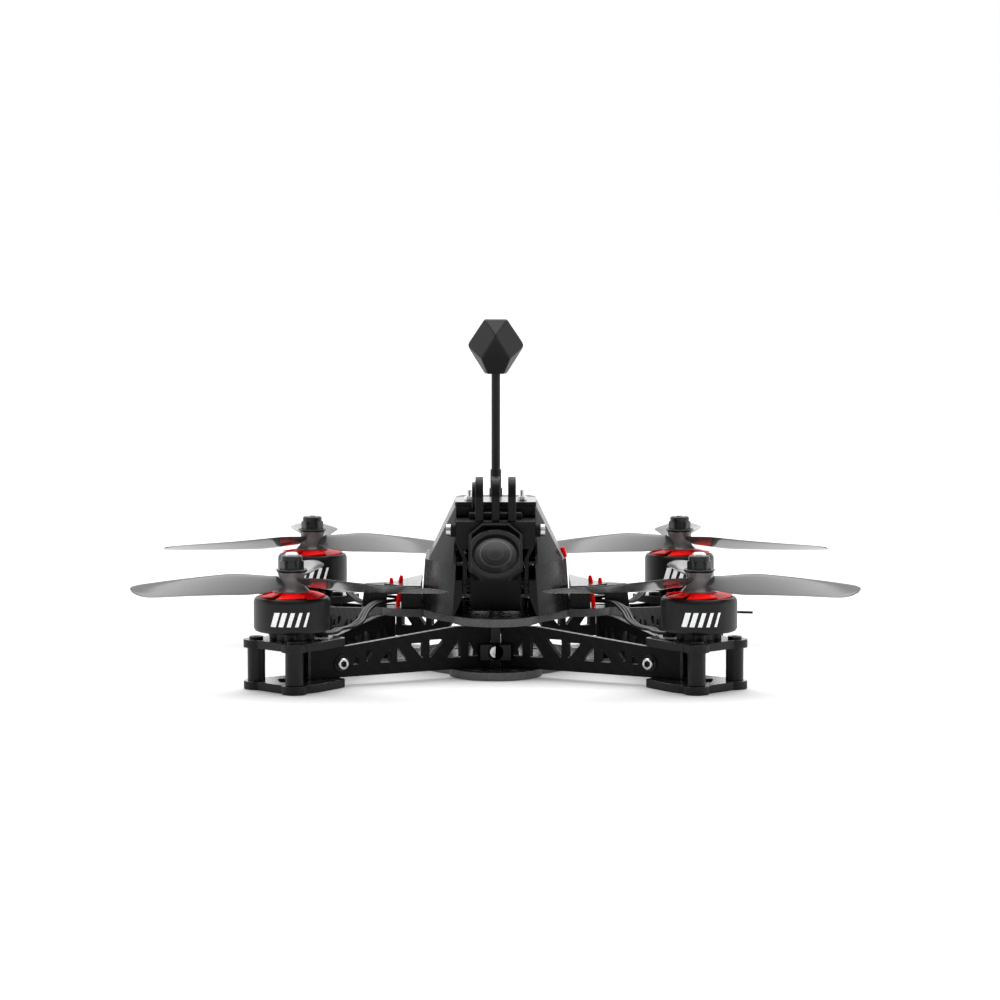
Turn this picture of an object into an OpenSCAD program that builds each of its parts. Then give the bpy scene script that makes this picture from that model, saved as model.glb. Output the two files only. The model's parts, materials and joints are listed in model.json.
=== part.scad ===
// Five-inch FPV racing drone: flat carbon plates, truss arms of upright
// carbon plates, four outrunner motors with three-blade propellers, a
// moulded pod with a tilting camera, an action-camera mount and an antenna.
// +X is right, the nose points to -Y, and Z = 0 is the lowest face.

/* [Frame] */
// Distance between neighbouring motor axes
motor_pitch = 150; // [148:1:154]
// Thickness of the flat carbon plates
plate_t = 3; // [2.8:0.1:3.2]
// Thickness of the upright arm plates
arm_t = 2.4; // [2:0.1:2.5]
// Length of the round spacers in the motor mounts
spacer_h = 12.4; // [12:0.1:12.8]
// Height of the underside of the mid plate
mid_z = 19.3; // [19.1:0.1:19.6]
// Solid edge above the windows of an arm plate
truss_rim = 3.3; // [3:0.1:3.6]

/* [Motors] */
// Diameter of the motor bell
bell_d = 28.2; // [27:0.1:29]
// Height of the motor bell
bell_h = 13.3; // [13:0.1:13.5]
// Diameter of the propeller thread on the shaft
shaft_d = 5; // [4.8:0.1:5]
// Red petals on top of each motor
petals = 6; // [4:1:8]

/* [Propellers] */
// Diameter swept by a propeller
prop_d = 130; // [120:1:132]
// Largest width of a blade
blade_chord = 18; // [14:0.5:20]
// Blades on a propeller
blades = 3; // [2:1:3]

/* [Pod] */
// Half the width of the pod at its base
pod_half_w = 28.5; // [27.5:0.1:28.5]
// Height of the top of the moulded pod
pod_top = 62; // [61:0.5:63]
// Upward tilt of the camera at rest
camera_tilt = 40; // [36:1:42]
// Thickness of the pod's moulded walls
pod_wall = 1.6; // [1.2:0.1:1.8]

/* [Antenna] */
// Height of the top of the antenna head
antenna_top = 132; // [125:1:140]

/* [Hidden] */
$fn = 48;

half = motor_pitch / 2;
// Signs of the four corners: front left, front right, rear left, rear right
corners = [[-1, -1], [1, -1], [-1, 1], [1, 1]];
// Small gap that keeps separate pieces apart
gap = 0.1;
eps = 0.01;

// Heights
mount_z = plate_t + spacer_h;
base_z = mount_z + plate_t;
mid_top = mid_z + plate_t;
bell_z = base_z + 3.3;
bell_top = bell_z + bell_h;
cap_z = bell_top + 0.4;
hub_z = cap_z + 0.7;
hub_h = 7.3;
nut_z = hub_z + hub_h;

// Arms: each is a V of two upright plates that start at the motor
front_vertex = 35;
side_vertex = 40;
front_len = norm([half, half - front_vertex]);
side_len = norm([half, half - side_vertex]);
arm_start = 7;
arm_end_gap = 2.9;
arm_low_top = 14.7;
arm_flat_s = 67;
arm_rise_s = 22;
window_floor = 7.5;
window_r = 0.5;
// Three-cornered windows of an arm plate: start, end, whether the square
// corner is at the far end, and whether it is at the top
arm_windows = [
    [23.8, 26.8, true, false], [29.7, 33.4, false, true], [35.1, 39.9, true, false],
    [42.7, 47.6, false, false], [48, 53.7, true, true], [56.3, 63.1, false, true],
    [63.6, 69.6, true, false], [72.8, 77.2, false, false],
];
bolt_s = 19.6;
bolt_z = 8.3;

// Motor mounts, measured inward from the motor axis
ear = [1.5, -13.3];
inner_screw = [10.3, 10.3];
ear_r = 4.7;
standoff_r = 3.3;
inner_standoff_r = 2.4;
screw_r = 1.5;

// Motors
base_lobe_at = 6;
base_lobe_r = 2.5;
bell_r = bell_d / 2;
stator_r = 11;
stator_z = base_z + 4.6;
stator_h = 6;
teeth = 12;
tube_r = 4.4;
lower_shaft_r = 2;

// Pod
ledge_z = 42;
strip_in = 12.7;
strip_out = 15.1;
strip_y = -38;
slot_back = -15;
cage_front = -35.4;

// Camera frame: the optical axis starts at the front of the octagonal bezel
camera_front = [0, -49, 46.1];
pivot_back = 19;
camera_half_w = 9.5;
pivot_r = 1;

// Wings
wing_gap_in = 36.5;
wing_gap_out = 42.5;
wing_gap_top = 27;
wing_top = 30.3;
deck_top = 31.8;
bolt_lean = 7;

// Action-camera mount
finger_t = 3;
finger_pitch = 6.2;
finger_r = 7.5;
action_hole = [0, -27.5, 67];
action_hole_r = 2.5;

// Antenna
antenna_y = 30;
head_h = 21.6;
head_half_w = 10.5;

// Route of the front left motor wires, from the motor to the speed controller
wire_r = 1.3;
wire_route = [
    [-69.9, -69.9, 20], [-65, -70.6, 20], [-60, -66.8, 20], [-58.6, -56, 19.6],
    [-56, -46, 19], [-53.5, -38, 18.9], [-51.2, -30, 20], [-50, -24, 22],
    [-48, -18, 23.8], [-45.5, -13, 24.6], [-42, -8.5, 24.6], [-39, -5.5, 24.6],
    [-35, -4, 24.6], [-31, -3.6, 24.6], [-25, -3.4, 24.6], [-18.4, -3.4, 24.6],
];

carbon = [0.13, 0.13, 0.14];
black = [0.09, 0.09, 0.09];
dark_metal = [0.17, 0.18, 0.19];
silver = [0.75, 0.75, 0.77];
red = [0.9, 0.02, 0.02];
smoke = [0.5, 0.5, 0.5];
board_green = [0.05, 0.2, 0.1];

// ---------------------------------------------------------------- helpers

// Places a child at one motor axis, with +X and +Y turned inward
module at_corner(i)
    translate([corners[i][0] * half, corners[i][1] * half, 0])
        mirror([corners[i][0] > 0 ? 1 : 0, 0, 0])
            mirror([0, corners[i][1] > 0 ? 1 : 0, 0])
                children();

module all_corners()
    for (i = [0:3])
        at_corner(i) children();

// A child and its mirror image in the plane Y = X, as the mounts repeat
module both_ears() {
    children();
    mirror([1, -1, 0]) children();
}

// A child in the corner frame turned along one of the two plates of an arm
module along_front_plate() rotate([0, 0, atan2(half - front_vertex, half)]) children();
module along_side_plate() rotate([0, 0, atan2(half, half - side_vertex)]) children();

module mirrored_x() {
    children();
    mirror([1, 0, 0]) children();
}

module four_ways() {
    mirrored_x() {
        children();
        mirror([0, 1, 0]) children();
    }
}

// Unit normal to the right of the way from a to b
function right_of(a, b) = [b[1] - a[1], a[0] - b[0]] / norm(b - a);

// Corners of a counter-clockwise convex outline pushed out by r
function pushed_out(p, r) = [
    for (i = [0:len(p) - 1])
        let (q = p[(i + 1) % len(p)], n = right_of(p[i], q))
            each [p[i] + r * n, q + r * n]
];

// A convex outline whose corners are arcs of radius r about the points p
module rounded(p, r) {
    polygon(pushed_out(p, r));
    for (c = p)
        translate(c) circle(r, $fn = 24);
}

function mirrored_points(p) = concat(p, [for (i = [len(p) - 1:-1:0]) [-p[i][0], p[i][1]]]);

// A tube swept along a route, with flat ends
function tangent(p, i) =
    let (a = p[max(i - 1, 0)], b = p[min(i + 1, len(p) - 1)]) (b - a) / norm(b - a);
function side_of(t) = let (s = cross(t, [0, 0, 1])) s / norm(s);

module swept_tube(route, r, sides = 8) {
    rings = len(route);
    points = [
        for (i = [0:rings - 1])
            let (t = tangent(route, i), u = side_of(t), v = cross(u, t))
                for (k = [0:sides - 1])
                    route[i] + r * (cos(360 * k / sides) * u + sin(360 * k / sides) * v)
    ];
    walls = [
        for (i = [0:rings - 2])
            for (k = [0:sides - 1])
                let (a = i * sides + k, b = i * sides + (k + 1) % sides)
                    each [[a, b, b + sides], [a, b + sides, a + sides]]
    ];
    first = [for (k = [sides - 1:-1:0]) k];
    last = [for (k = [0:sides - 1]) (rings - 1) * sides + k];
    polyhedron(points, concat(walls, [first, last]));
}

module hex_socket_head(r, h, socket) {
    difference() {
        cylinder(r = r, h = h, $fn = 32);
        translate([0, 0, h - 0.9]) cylinder(r = socket, h = 1, $fn = 6);
    }
}

// ----------------------------------------------------------------- plates

// Outline of a centre plate: two long lobes and two side lobes
module centre_outline(lobe_y, lobe_r, side_x, side_r, flank) {
    for (s = [-1, 1]) {
        translate([s * side_x, 0]) circle(side_r, $fn = 96);
        translate([0, s * lobe_y]) circle(lobe_r, $fn = 96);
    }
    polygon([
        for (q = [[1, -1], [1, 1], [-1, 1], [-1, -1]])
            for (k = q[0] * q[1] < 0 ? [0, 1] : [1, 0])
                [q[0] * flank[k][0], q[1] * flank[k][1]]
    ]);
}

module wing_tongue() {
    for (a = [0, 180])
        rotate(a) polygon([[40, -9.5], [48.5, -7], [52, -3], [52, 3], [48.5, 7], [40, 9.5]]);
}

module plate_screw_holes(r) {
    four_ways() {
        translate([15.25, 15.25]) circle(r, $fn = 24);
        translate([24, 8]) circle(r, $fn = 24);
        translate([7, 41]) circle(r, $fn = 24);
    }
}

module mid_plate() {
    color(carbon)
        translate([0, 0, mid_z])
            linear_extrude(plate_t)
                difference() {
                    union() {
                        centre_outline(31, 16.5, 31, 15.4, [[16.4, 33], [27.6, 17]]);
                        wing_tongue();
                    }
                    plate_screw_holes(1.1);
                    vertex_slots();
                    square([10, 16], center = true);
                }
}

module bottom_plate() {
    color(carbon)
        linear_extrude(plate_t)
            difference() {
                union() {
                    centre_outline(37.5, 17.5, 33, 17, [[17.4, 36], [30, 21]]);
                    wing_tongue();
                }
                vertex_slots();
                four_ways() {
                    translate([15.25, 15.25]) circle(1.6, $fn = 24);
                    translate([7, 48]) circle(1.6, $fn = 24);
                }
                rounded([[-6, -10], [6, -10], [6, 10], [-6, 10]], 3);
            }
}

// Slots that take the tongues of the upright vertex blocks
module vertex_slots() {
    for (s = [-1, 1]) {
        translate([0, s * (front_vertex + 1)]) square([3.8 + gap, 4 + gap], center = true);
        translate([s * (side_vertex + 1), 0]) square([4 + gap, 3.8 + gap], center = true);
    }
}

// Corner centres of one window, counter-clockwise
function window_corners(w) =
    let (top = arm_top(w[0]) - truss_rim, len = w[1] - w[0], h = top - window_floor,
         k = 1 - window_r * (len + h + norm([len, h])) / (len * h),
         sx = w[2] ? -1 : 1, sy = w[3] ? -1 : 1,
         p = [(w[2] ? w[1] : w[0]) + sx * window_r,
              (w[3] ? top : window_floor) + sy * window_r],
         q = p + [sx * k * len, 0], t = p + [0, sy * k * h])
        sx * sy > 0 ? [p, q, t] : [p, t, q];

function arm_top(s) =
    s < arm_rise_s ? arm_low_top
    : s > arm_flat_s ? mid_z - gap
    : arm_low_top
        + (mid_z - gap - arm_low_top) * (s - arm_rise_s) / (arm_flat_s - arm_rise_s);

// One upright plate in its own plane: distance from the motor, then height
module arm_plate(plate_len) {
    stop = plate_len - arm_end_gap;
    rotate([90, 0, 0])
        translate([0, 0, -arm_t / 2])
            linear_extrude(arm_t)
                difference() {
                    polygon([
                        [arm_start, plate_t + gap], [stop, plate_t + gap],
                        [stop, mid_z - gap], [arm_flat_s, mid_z - gap],
                        [arm_rise_s, arm_low_top], [arm_start, arm_low_top],
                    ]);
                    for (w = arm_windows)
                        rounded(window_corners(w), window_r);
                    translate([bolt_s, bolt_z]) circle(screw_r + gap, $fn = 24);
                }
}

module arm_plates(i) {
    color(carbon)
        at_corner(i) {
            along_front_plate() arm_plate(front_len);
            along_side_plate() arm_plate(side_len);
        }
}

// ------------------------------------------------------------ motor mounts

// Outline of a motor mount, +X and +Y pointing inward
module mount_outline() {
    difference() {
        union() {
            both_ears() {
                translate(ear) circle(ear_r, $fn = 48);
                polygon([
                    [-8, -8], [-2.9, -13], [1.5, -14], [5.8, -12.9], [10.3, -9.4],
                    [16.5, -0.4], [19.2, 3.8], [19.2, 5.6], [13.6, 13.6], [-8, 8],
                ]);
            }
            circle(11);
        }
        translate([-17.5, -17.5]) circle(11.2, $fn = 64);
    }
}

// A child at each of the three screws of a mount
module mount_screw_places() {
    both_ears() translate(ear) children();
    translate(inner_screw) children();
}

module mount_holes(r) {
    mount_screw_places() circle(r, $fn = 24);
}

module motor_mount_tops() {
    color(carbon)
        all_corners()
            translate([0, 0, mount_z])
                linear_extrude(plate_t)
                    difference() {
                        mount_outline();
                        mount_holes(screw_r + gap);
                        for (a = [0:90:270])
                            rotate(a) translate([base_lobe_at, 0]) circle(1.1, $fn = 24);
                        circle(3, $fn = 32);
                    }
}

module motor_mount_bottoms() {
    color(carbon)
        all_corners()
            linear_extrude(plate_t)
                difference() {
                    mount_outline();
                    mount_holes(screw_r + gap);
                    rounded([[-3, -3], [4, -4], [5, 5], [-4, 4]], 1.5);
                }
}

module spacer(r) {
    difference() {
        translate([0, 0, plate_t]) cylinder(r = r, h = spacer_h, $fn = 48);
        cylinder(r = screw_r + gap, h = base_z, $fn = 24);
    }
}

module mount_standoffs() {
    color(black)
        all_corners() {
            both_ears() translate(ear) spacer(standoff_r);
            translate(inner_screw) spacer(inner_standoff_r);
        }
}

// Each screw: flat head on the top plate, shank through both, countersunk end
module mount_screws() {
    color(black)
        all_corners()
            mount_screw_places() {
                translate([0, 0, 0.2]) cylinder(r = screw_r, h = base_z, $fn = 24);
                translate([0, 0, base_z]) hex_socket_head(2.6, 1, 1.2);
            }
}

// Silver bolts through the arm plates near the motors, with dark washers
module arm_bolt(side) {
    translate([bolt_s, 0, bolt_z])
        rotate([90 * side, 0, 0]) {
            translate([0, 0, arm_t / 2]) cylinder(r = 3.1, h = 0.5, $fn = 32);
            translate([0, 0, arm_t / 2 + 0.5]) hex_socket_head(2.35, 1.6, 1.3);
            translate([0, 0, -arm_t / 2 - 2]) cylinder(r = screw_r, h = arm_t + 2.6, $fn = 24);
            translate([0, 0, -arm_t / 2 - 2.2]) cylinder(r = 2.9, h = 2.2, $fn = 6);
        }
}

module arm_cross_bolts() {
    color(silver)
        all_corners() {
            along_front_plate() arm_bolt(1);
            along_side_plate() arm_bolt(-1);
        }
}

// ---------------------------------------------------------------- vertices

// Half width of a V measured from its vertex: outer face of the plates
vertex_slope = (half - front_vertex) / half;
side_slope = (half - side_vertex) / half;

// A post between the plates with a clamping block, nose towards -Y
module vertex_block(at, slope) {
    outer = arm_t / 2 * sqrt(1 + slope * slope) + gap;
    block_w = 5.85;
    difference() {
        union() {
            translate([-1.9, -at - 3, 0.4]) cube([3.8, 4, mid_top - 0.8]);
            translate([0, 0, 6])
                linear_extrude(6)
                    polygon([
                        [-block_w, -at - 6.4], [block_w, -at - 6.4],
                        [block_w, -at - outer - slope * block_w],
                        [0, -at - outer],
                        [-block_w, -at - outer - slope * block_w],
                    ]);
        }
        translate([0, -at - 3.9, 9])
            rotate([90, 0, 0]) cylinder(r = 2.8, h = 3, $fn = 32);
        translate([0, -at + 3, 9])
            rotate([90, 0, 0]) cylinder(r = screw_r + gap, h = 8, $fn = 24);
    }
}

module vertex_blocks() {
    color(black) {
        for (a = [0, 180])
            rotate([0, 0, a]) vertex_block(front_vertex, vertex_slope);
        for (a = [90, -90])
            rotate([0, 0, a]) vertex_block(side_vertex, side_slope);
    }
}

module vertex_bolts() {
    color(silver)
        for (a = [[0, front_vertex], [180, front_vertex], [90, side_vertex], [-90, side_vertex]])
            rotate([0, 0, a[0]])
                translate([0, -a[1] - 4, 9])
                    rotate([90, 0, 0]) {
                        hex_socket_head(2.2, 1.8, 1.2);
                        translate([0, 0, -5]) cylinder(r = screw_r, h = 5.5, $fn = 24);
                    }
}

// ------------------------------------------------------------------ motors

module motor_bases() {
    color(dark_metal)
        all_corners()
            translate([0, 0, base_z]) {
                difference() {
                    union() {
                        linear_extrude(2.6)
                            difference() {
                                union() {
                                    circle(6.2);
                                    for (a = [0:90:270])
                                        rotate(a)
                                            rounded([[0, -0.2], [base_lobe_at, -0.2],
                                                     [base_lobe_at, 0.2], [0, 0.2]],
                                                    base_lobe_r - 0.2);
                                }
                                for (a = [0:90:270])
                                    rotate(a) translate([base_lobe_at, 0]) circle(1, $fn = 24);
                            }
                        cylinder(r = tube_r, h = 12.4);
                    }
                    translate([0, 0, -1]) cylinder(r = 3.6, h = 15);
                }
            }
}

module motor_bearings() {
    color(silver)
        all_corners()
            for (z = [base_z + 0.3, base_z + 10.2])
                translate([0, 0, z])
                    difference() {
                        cylinder(r = 3.6, h = 2);
                        translate([0, 0, -1]) cylinder(r = lower_shaft_r + 0.05, h = 4);
                    }
}

module stator_cores() {
    color(dark_metal)
        all_corners()
            translate([0, 0, stator_z])
                linear_extrude(stator_h)
                    difference() {
                        union() {
                            circle(6.2);
                            for (k = [0:teeth - 1])
                                rotate(k * 360 / teeth) {
                                    translate([3, -0.7]) square([7.2, 1.4]);
                                    intersection() {
                                        difference() {
                                            circle(stator_r);
                                            circle(stator_r - 1);
                                        }
                                        polygon([[0, 0], [14, -3], [14, 3]]);
                                    }
                                }
                        }
                        circle(tube_r + gap / 2);
                    }
}

module stator_windings() {
    color([0.55, 0.25, 0.1])
        all_corners()
            for (k = [0:teeth - 1])
                rotate([0, 0, k * 360 / teeth])
                    translate([6.5, 0, stator_z - 0.6])
                        difference() {
                            linear_extrude(stator_h + 1.2)
                                polygon([[0, -1.3], [3.2, -2], [3.2, 2], [0, 1.3]]);
                            translate([-1, -0.75, 0.5]) cube([6, 1.5, stator_h + 0.2]);
                        }
}

module bell_section() {
    w = 2.6;
    polygon([
        [bell_r - w, 0], [bell_r - 1.4, 0], [bell_r - 0.5, 0.35], [bell_r, 1.4],
        [bell_r, bell_h - 2.3], [bell_r - 0.3, bell_h - 1.4], [bell_r - 0.8, bell_h - 0.8],
        [bell_r - 1.4, bell_h - 0.6], [bell_r - 1.7, bell_h - 0.6],
        [bell_r - 1.7, bell_h - 1.6], [bell_r - w, bell_h - 2.4],
    ]);
}

module motor_bell(i) {
    color(dark_metal)
        at_corner(i)
            translate([0, 0, bell_z])
                difference() {
                    union() {
                        rotate_extrude($fn = 96) bell_section();
                        translate([0, 0, bell_h - 2.2]) cylinder(r = 6.6, h = 2.6);
                        for (k = [0:petals - 1])
                            rotate([0, 0, k * 360 / petals])
                                translate([5, -0.8, bell_h - 2.8])
                                    cube([bell_r - 7.2, 1.6, 1.3]);
                    }
                    translate([0, 0, bell_h - 4]) cylinder(r = lower_shaft_r + 0.02, h = 6);
                }
}

// Red petals like fan blades: each one leans about its own radius
module bell_cap(i) {
    span = 360 / petals - 7;
    lean = corners[i][0] * corners[i][1] * 5;
    color(red)
        at_corner(i)
            difference() {
                union() {
                    translate([0, 0, cap_z]) cylinder(r = 6.9, h = hub_z - cap_z - gap / 2);
                    for (k = [0:petals - 1])
                        rotate([0, 0, (k + 0.5) * 360 / petals])
                            translate([0, 0, cap_z])
                                rotate([lean, 0, 0])
                                    rotate([0, 0, -span / 2])
                                        rotate_extrude(angle = span, $fn = 96)
                                            polygon([[5.6, 0.1], [6.6, 0.1], [12.1, -0.95],
                                                     [12.1, -0.45], [6.6, 0.6], [5.6, 0.6]]);
                }
                translate([0, 0, cap_z - 3]) cylinder(r = 2.55, h = 6);
                translate([0, 0, hub_z - gap / 2]) cylinder(r = 20, h = 3);
                translate([0, 0, cap_z - 3]) cylinder(r = 6.65, h = 3);
            }
}

module motor_shaft(i) {
    color(silver)
        at_corner(i) {
            translate([0, 0, base_z + 0.1]) cylinder(r = lower_shaft_r, h = bell_top - base_z + 0.2);
            translate([0, 0, bell_top + 0.4]) cylinder(r = shaft_d / 2, h = 14.6);
            translate([0, 0, bell_top + 15]) cylinder(r1 = shaft_d / 2, r2 = 1.9, h = 0.6);
            translate([0, 0, bell_top + 0.3 - eps]) cylinder(r = lower_shaft_r, h = 0.2);
        }
}

// -------------------------------------------------------------- propellers

blade_root = 4.5;
blade_stations = 13;
// Width of a blade at fraction t of the way from root to tip
function chord(t) =
    t > 0.99 ? 4.5
    : (9 + (blade_chord - 9) * pow(sin(min(90, 300 * t)), 1.2)) * pow(1 - pow(t, 30), 0.5)
        * (1 - 0.22 * t);
// Pitch angle of a blade at fraction t
function blade_pitch(t) = 25 - 12.5 * t;
// How far the blade's middle leads its radius at fraction t
function blade_sweep(t) = 3.2 * sin(180 * t) - 2.2 * t * t;

// One section of a blade: a thin lens, leading edge first
function blade_ring(t) =
    let (r = blade_root + t * (prop_d / 2 - blade_root), c = chord(t), a = blade_pitch(t),
         h = 1.5 - 0.9 * t)
        [
            for (q = [[0.5, 0], [0.2, 0.42], [-0.2, 0.4], [-0.5, 0],
                      [-0.2, -0.25], [0.2, -0.25]])
                let (u = q[0] * c, v = q[1] * h)
                    [r, blade_sweep(t) + u * cos(a) - v * sin(a), u * sin(a) + v * cos(a)]
        ];

module blade() {
    sides = 6;
    points = [for (k = [0:blade_stations - 1]) each blade_ring(k / (blade_stations - 1))];
    walls = [
        for (i = [0:blade_stations - 2])
            for (k = [0:sides - 1])
                let (a = i * sides + k, b = i * sides + (k + 1) % sides)
                    each [[a, b + sides, b], [a, a + sides, b + sides]]
    ];
    first = [for (k = [0:sides - 1]) k];
    last = [for (k = [sides - 1:-1:0]) (blade_stations - 1) * sides + k];
    polyhedron(points, concat(walls, [first, last]));
}

// One blade points to the tail in every corner. The hands come from the
// mirrored corner frames, so diagonal motors share a hand.
function blade_turn(i) = corners[i][1] < 0 ? 90 : -90;

module propeller(i) {
    color(smoke)
        at_corner(i)
            translate([0, 0, hub_z]) {
                difference() {
                    union() {
                        rotate_extrude($fn = 64)
                            polygon([[0, 0], [6.4, 0], [6.4, 0.6], [5, 2.3], [4.8, 6.3],
                                     [5.3, hub_h], [0, hub_h]]);
                        for (k = [0:blades - 1])
                            rotate([0, 0, blade_turn(i) + k * 360 / blades])
                                translate([0, 0, hub_h / 2]) mirror([0, 1, 0]) blade();
                    }
                    translate([0, 0, -1]) cylinder(r = shaft_d / 2 + 0.05, h = hub_h + 2);
                }
            }
}

module prop_nut(i) {
    color(dark_metal)
        at_corner(i)
            translate([0, 0, nut_z])
                difference() {
                    union() {
                        cylinder(r = 5.8, h = 1.1);
                        translate([0, 0, 1.1]) cylinder(r = 4.62, h = 3.6, $fn = 6);
                        translate([0, 0, 4.7]) cylinder(r1 = 4, r2 = 3.4, h = 1.5);
                    }
                    translate([0, 0, -1]) cylinder(r = shaft_d / 2 + 0.02, h = 9);
                }
}

// --------------------------------------------------------------------- pod

// Half outlines of the pod at four heights, from the nose to the tail
function pod_base_half(d) = [
    [0, strip_y + d], [strip_out + 1.2 - d, strip_y + d], [20.8 - d, -31 + d],
    [pod_half_w - d, -16.5 + d / 2], [pod_half_w - d, 16.5 - d / 2],
    [20.8 - d, 31 - d], [15 - d, 37 - d], [0, 37 - d],
];
function pod_ledge_half(d) = [
    [0, strip_y + 0.4 + d], [strip_out - d / 2, strip_y + 0.4 + d], [20 - d, -31 + d],
    [pod_half_w - 1.4 - d, -17 + d / 2], [pod_half_w - 1.4 - d, 17 - d / 2],
    [20 - d, 31 - d], [14.5 - d, 36.5 - d], [0, 36.5 - d],
];
function pod_step_half(d) = [
    [0, -34.5 + d], [strip_out + 1 - d, -34.5 + d], [20 - d, -29 + d],
    [pod_half_w - 2.8 - d, -16 + d / 2], [pod_half_w - 2.8 - d, 17 - d / 2],
    [19 - d, 30 - d], [14 - d, 36 - d], [0, 36 - d],
];
function pod_top_half(d) = [
    [0, slot_back + d], [15.2 - d, slot_back + d], [15.5 - d, -13 + d],
    [15.7 - d, -10 + d], [15.7 - d, 28 - d], [15 - d, 31 - d], [13 - d, 34.5 - d],
    [0, 34.5 - d],
];

module level(half_points, z, h = eps)
    translate([0, 0, z]) linear_extrude(h) polygon(half_points);

// Right half of the pod as one solid, shrunk by d all round
module pod_half_solid(d) {
    hull() {
        level(pod_base_half(d), mid_top + 0.1 - (d > 0 ? 1 : 0));
        level(pod_ledge_half(d), ledge_z - d);
    }
    hull() {
        level(pod_step_half(d), ledge_z - 2 * d - eps);
        level(pod_top_half(d), pod_top - d - eps);
    }
}

module pod_side() {
    difference() {
        pod_half_solid(0);
        pod_half_solid(pod_wall);
        // Seam between the two halves
        translate([-10, -50, 0]) cube([10 + gap, 100, 80]);
        // Camera bay, open to the nose
        translate([-10, -50, mid_top - 1]) cube([10 + strip_in, 44, ledge_z - mid_top + 1]);
        translate([-10, -50, ledge_z - 6]) cube([10 + strip_out, 50 + slot_back, 40]);
        // The opening widens at the foot of the nose
        translate([0, -20, 0])
            rotate([90, 0, 0])
                linear_extrude(30)
                    polygon([[strip_in - 1, 20], [strip_out + 0.8, 20],
                             [strip_out + 0.6, mid_top], [strip_in - 0.1, 29.6],
                             [strip_in - 1, 29.6]]);
        // Slot for the motor wires
        translate([20, -7, mid_top - 1]) cube([20, 14, 5.5]);
        // Seat of the antenna connector
        translate([0, antenna_y, pod_top - 4]) cylinder(r = 3.3, h = 8);
        // Cooling slots in the tail
        for (k = [0:2])
            translate([3, 30, 28 + 5 * k]) cube([6.2, 12, 2.4]);
    }
}

module pod_side_right() {
    color(black) pod_side();
}

module pod_side_left() {
    color(black) mirror([1, 0, 0]) pod_side();
}

module pod_top_plate() {
    color(carbon)
        translate([0, 0, pod_top + gap])
            linear_extrude(1.6)
                difference() {
                    rounded([[-14.65, slot_back + 1], [14.65, slot_back + 1],
                             [14.65, 6], [-14.65, 6]], 1);
                    mirrored_x() translate([10.2, -8]) circle(1.1, $fn = 24);
                }
}

module pod_screws() {
    color(silver) {
        mirrored_x()
            translate([10.2, -8, pod_top + 1.8]) {
                cylinder(r = 1.9, h = 1.6, $fn = 6);
                cylinder(r = 1, h = 4, $fn = 24);
            }
        // Side screws of the camera cage, on their rubber bushes
        mirrored_x()
            translate([15 + gap, -30, 54.3])
                rotate([0, 90, 0]) {
                    cylinder(r = 2.5, h = 2, $fn = 32);
                    translate([0, 0, 2]) hex_socket_head(2.3, 1.7, 1.1);
                }
    }
}

// Profile of the cage seen from the nose, shrunk by d
function cage_half(d) = [
    [12.5 - d, 30 - 4 * d], [12.5 - d, 44], [15 - d, 49.6], [15 - d, 58 - d],
];

module camera_cage() {
    depth = 16;
    color(black)
        difference() {
            union() {
                translate([0, cage_front + depth, 0])
                    rotate([90, 0, 0])
                        linear_extrude(depth)
                            difference() {
                                polygon(mirrored_points(cage_half(0)));
                                polygon(mirrored_points(cage_half(1.5)));
                            }
                // Brow across the top of the nose
                translate([0, cage_front + 1.6, 0])
                    rotate([90, 0, 0])
                        linear_extrude(1.6)
                            polygon(mirrored_points([[14.4, 47.6], [14.4, 57.4]]));
            }
            // Floor of the profile is open
            translate([-20, -60, 20]) cube([40, 60, 4]);
            translate([-11, -60, 20]) cube([22, 60, 11]);
            translate([-20, camera_pivot[1], camera_pivot[2]])
                rotate([0, 90, 0]) cylinder(r = pivot_r + 0.05, h = 40, $fn = 32);
            mirrored_x()
                translate([10, -30, 54.3])
                    rotate([0, 90, 0]) cylinder(r = 1.1, h = 8, $fn = 24);
        }
}

module action_mount() {
    color(black)
        difference() {
            union() {
                for (k = [-1:1])
                    translate([k * finger_pitch - finger_t / 2, action_hole[1], action_hole[2]])
                        rotate([90, 0, 90])
                            linear_extrude(finger_t) {
                                circle(finger_r);
                                translate([-finger_r, 58 + gap - action_hole[2]])
                                    square([2 * finger_r, action_hole[2] - 58 - gap]);
                            }
                translate([-10.1, action_hole[1] + finger_r - 5, 58 + gap])
                    cube([20.2, 5, 2.3]);
                translate([-finger_pitch - finger_t / 2 - 1.3, action_hole[1], action_hole[2]])
                    rotate([0, 90, 0]) cylinder(r = 5.5, h = 1.5);
            }
            translate([-12, action_hole[1], action_hole[2]])
                rotate([0, 90, 0]) cylinder(r = action_hole_r, h = 24, $fn = 48);
        }
}

// ------------------------------------------------------------------- wings

module wing_bolt_hole(r) {
    translate([37.9, -8, mid_top])
        rotate([0, -bolt_lean, 0]) translate([0, 0, -1]) cylinder(r = r, h = 16, $fn = 24);
}

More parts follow.
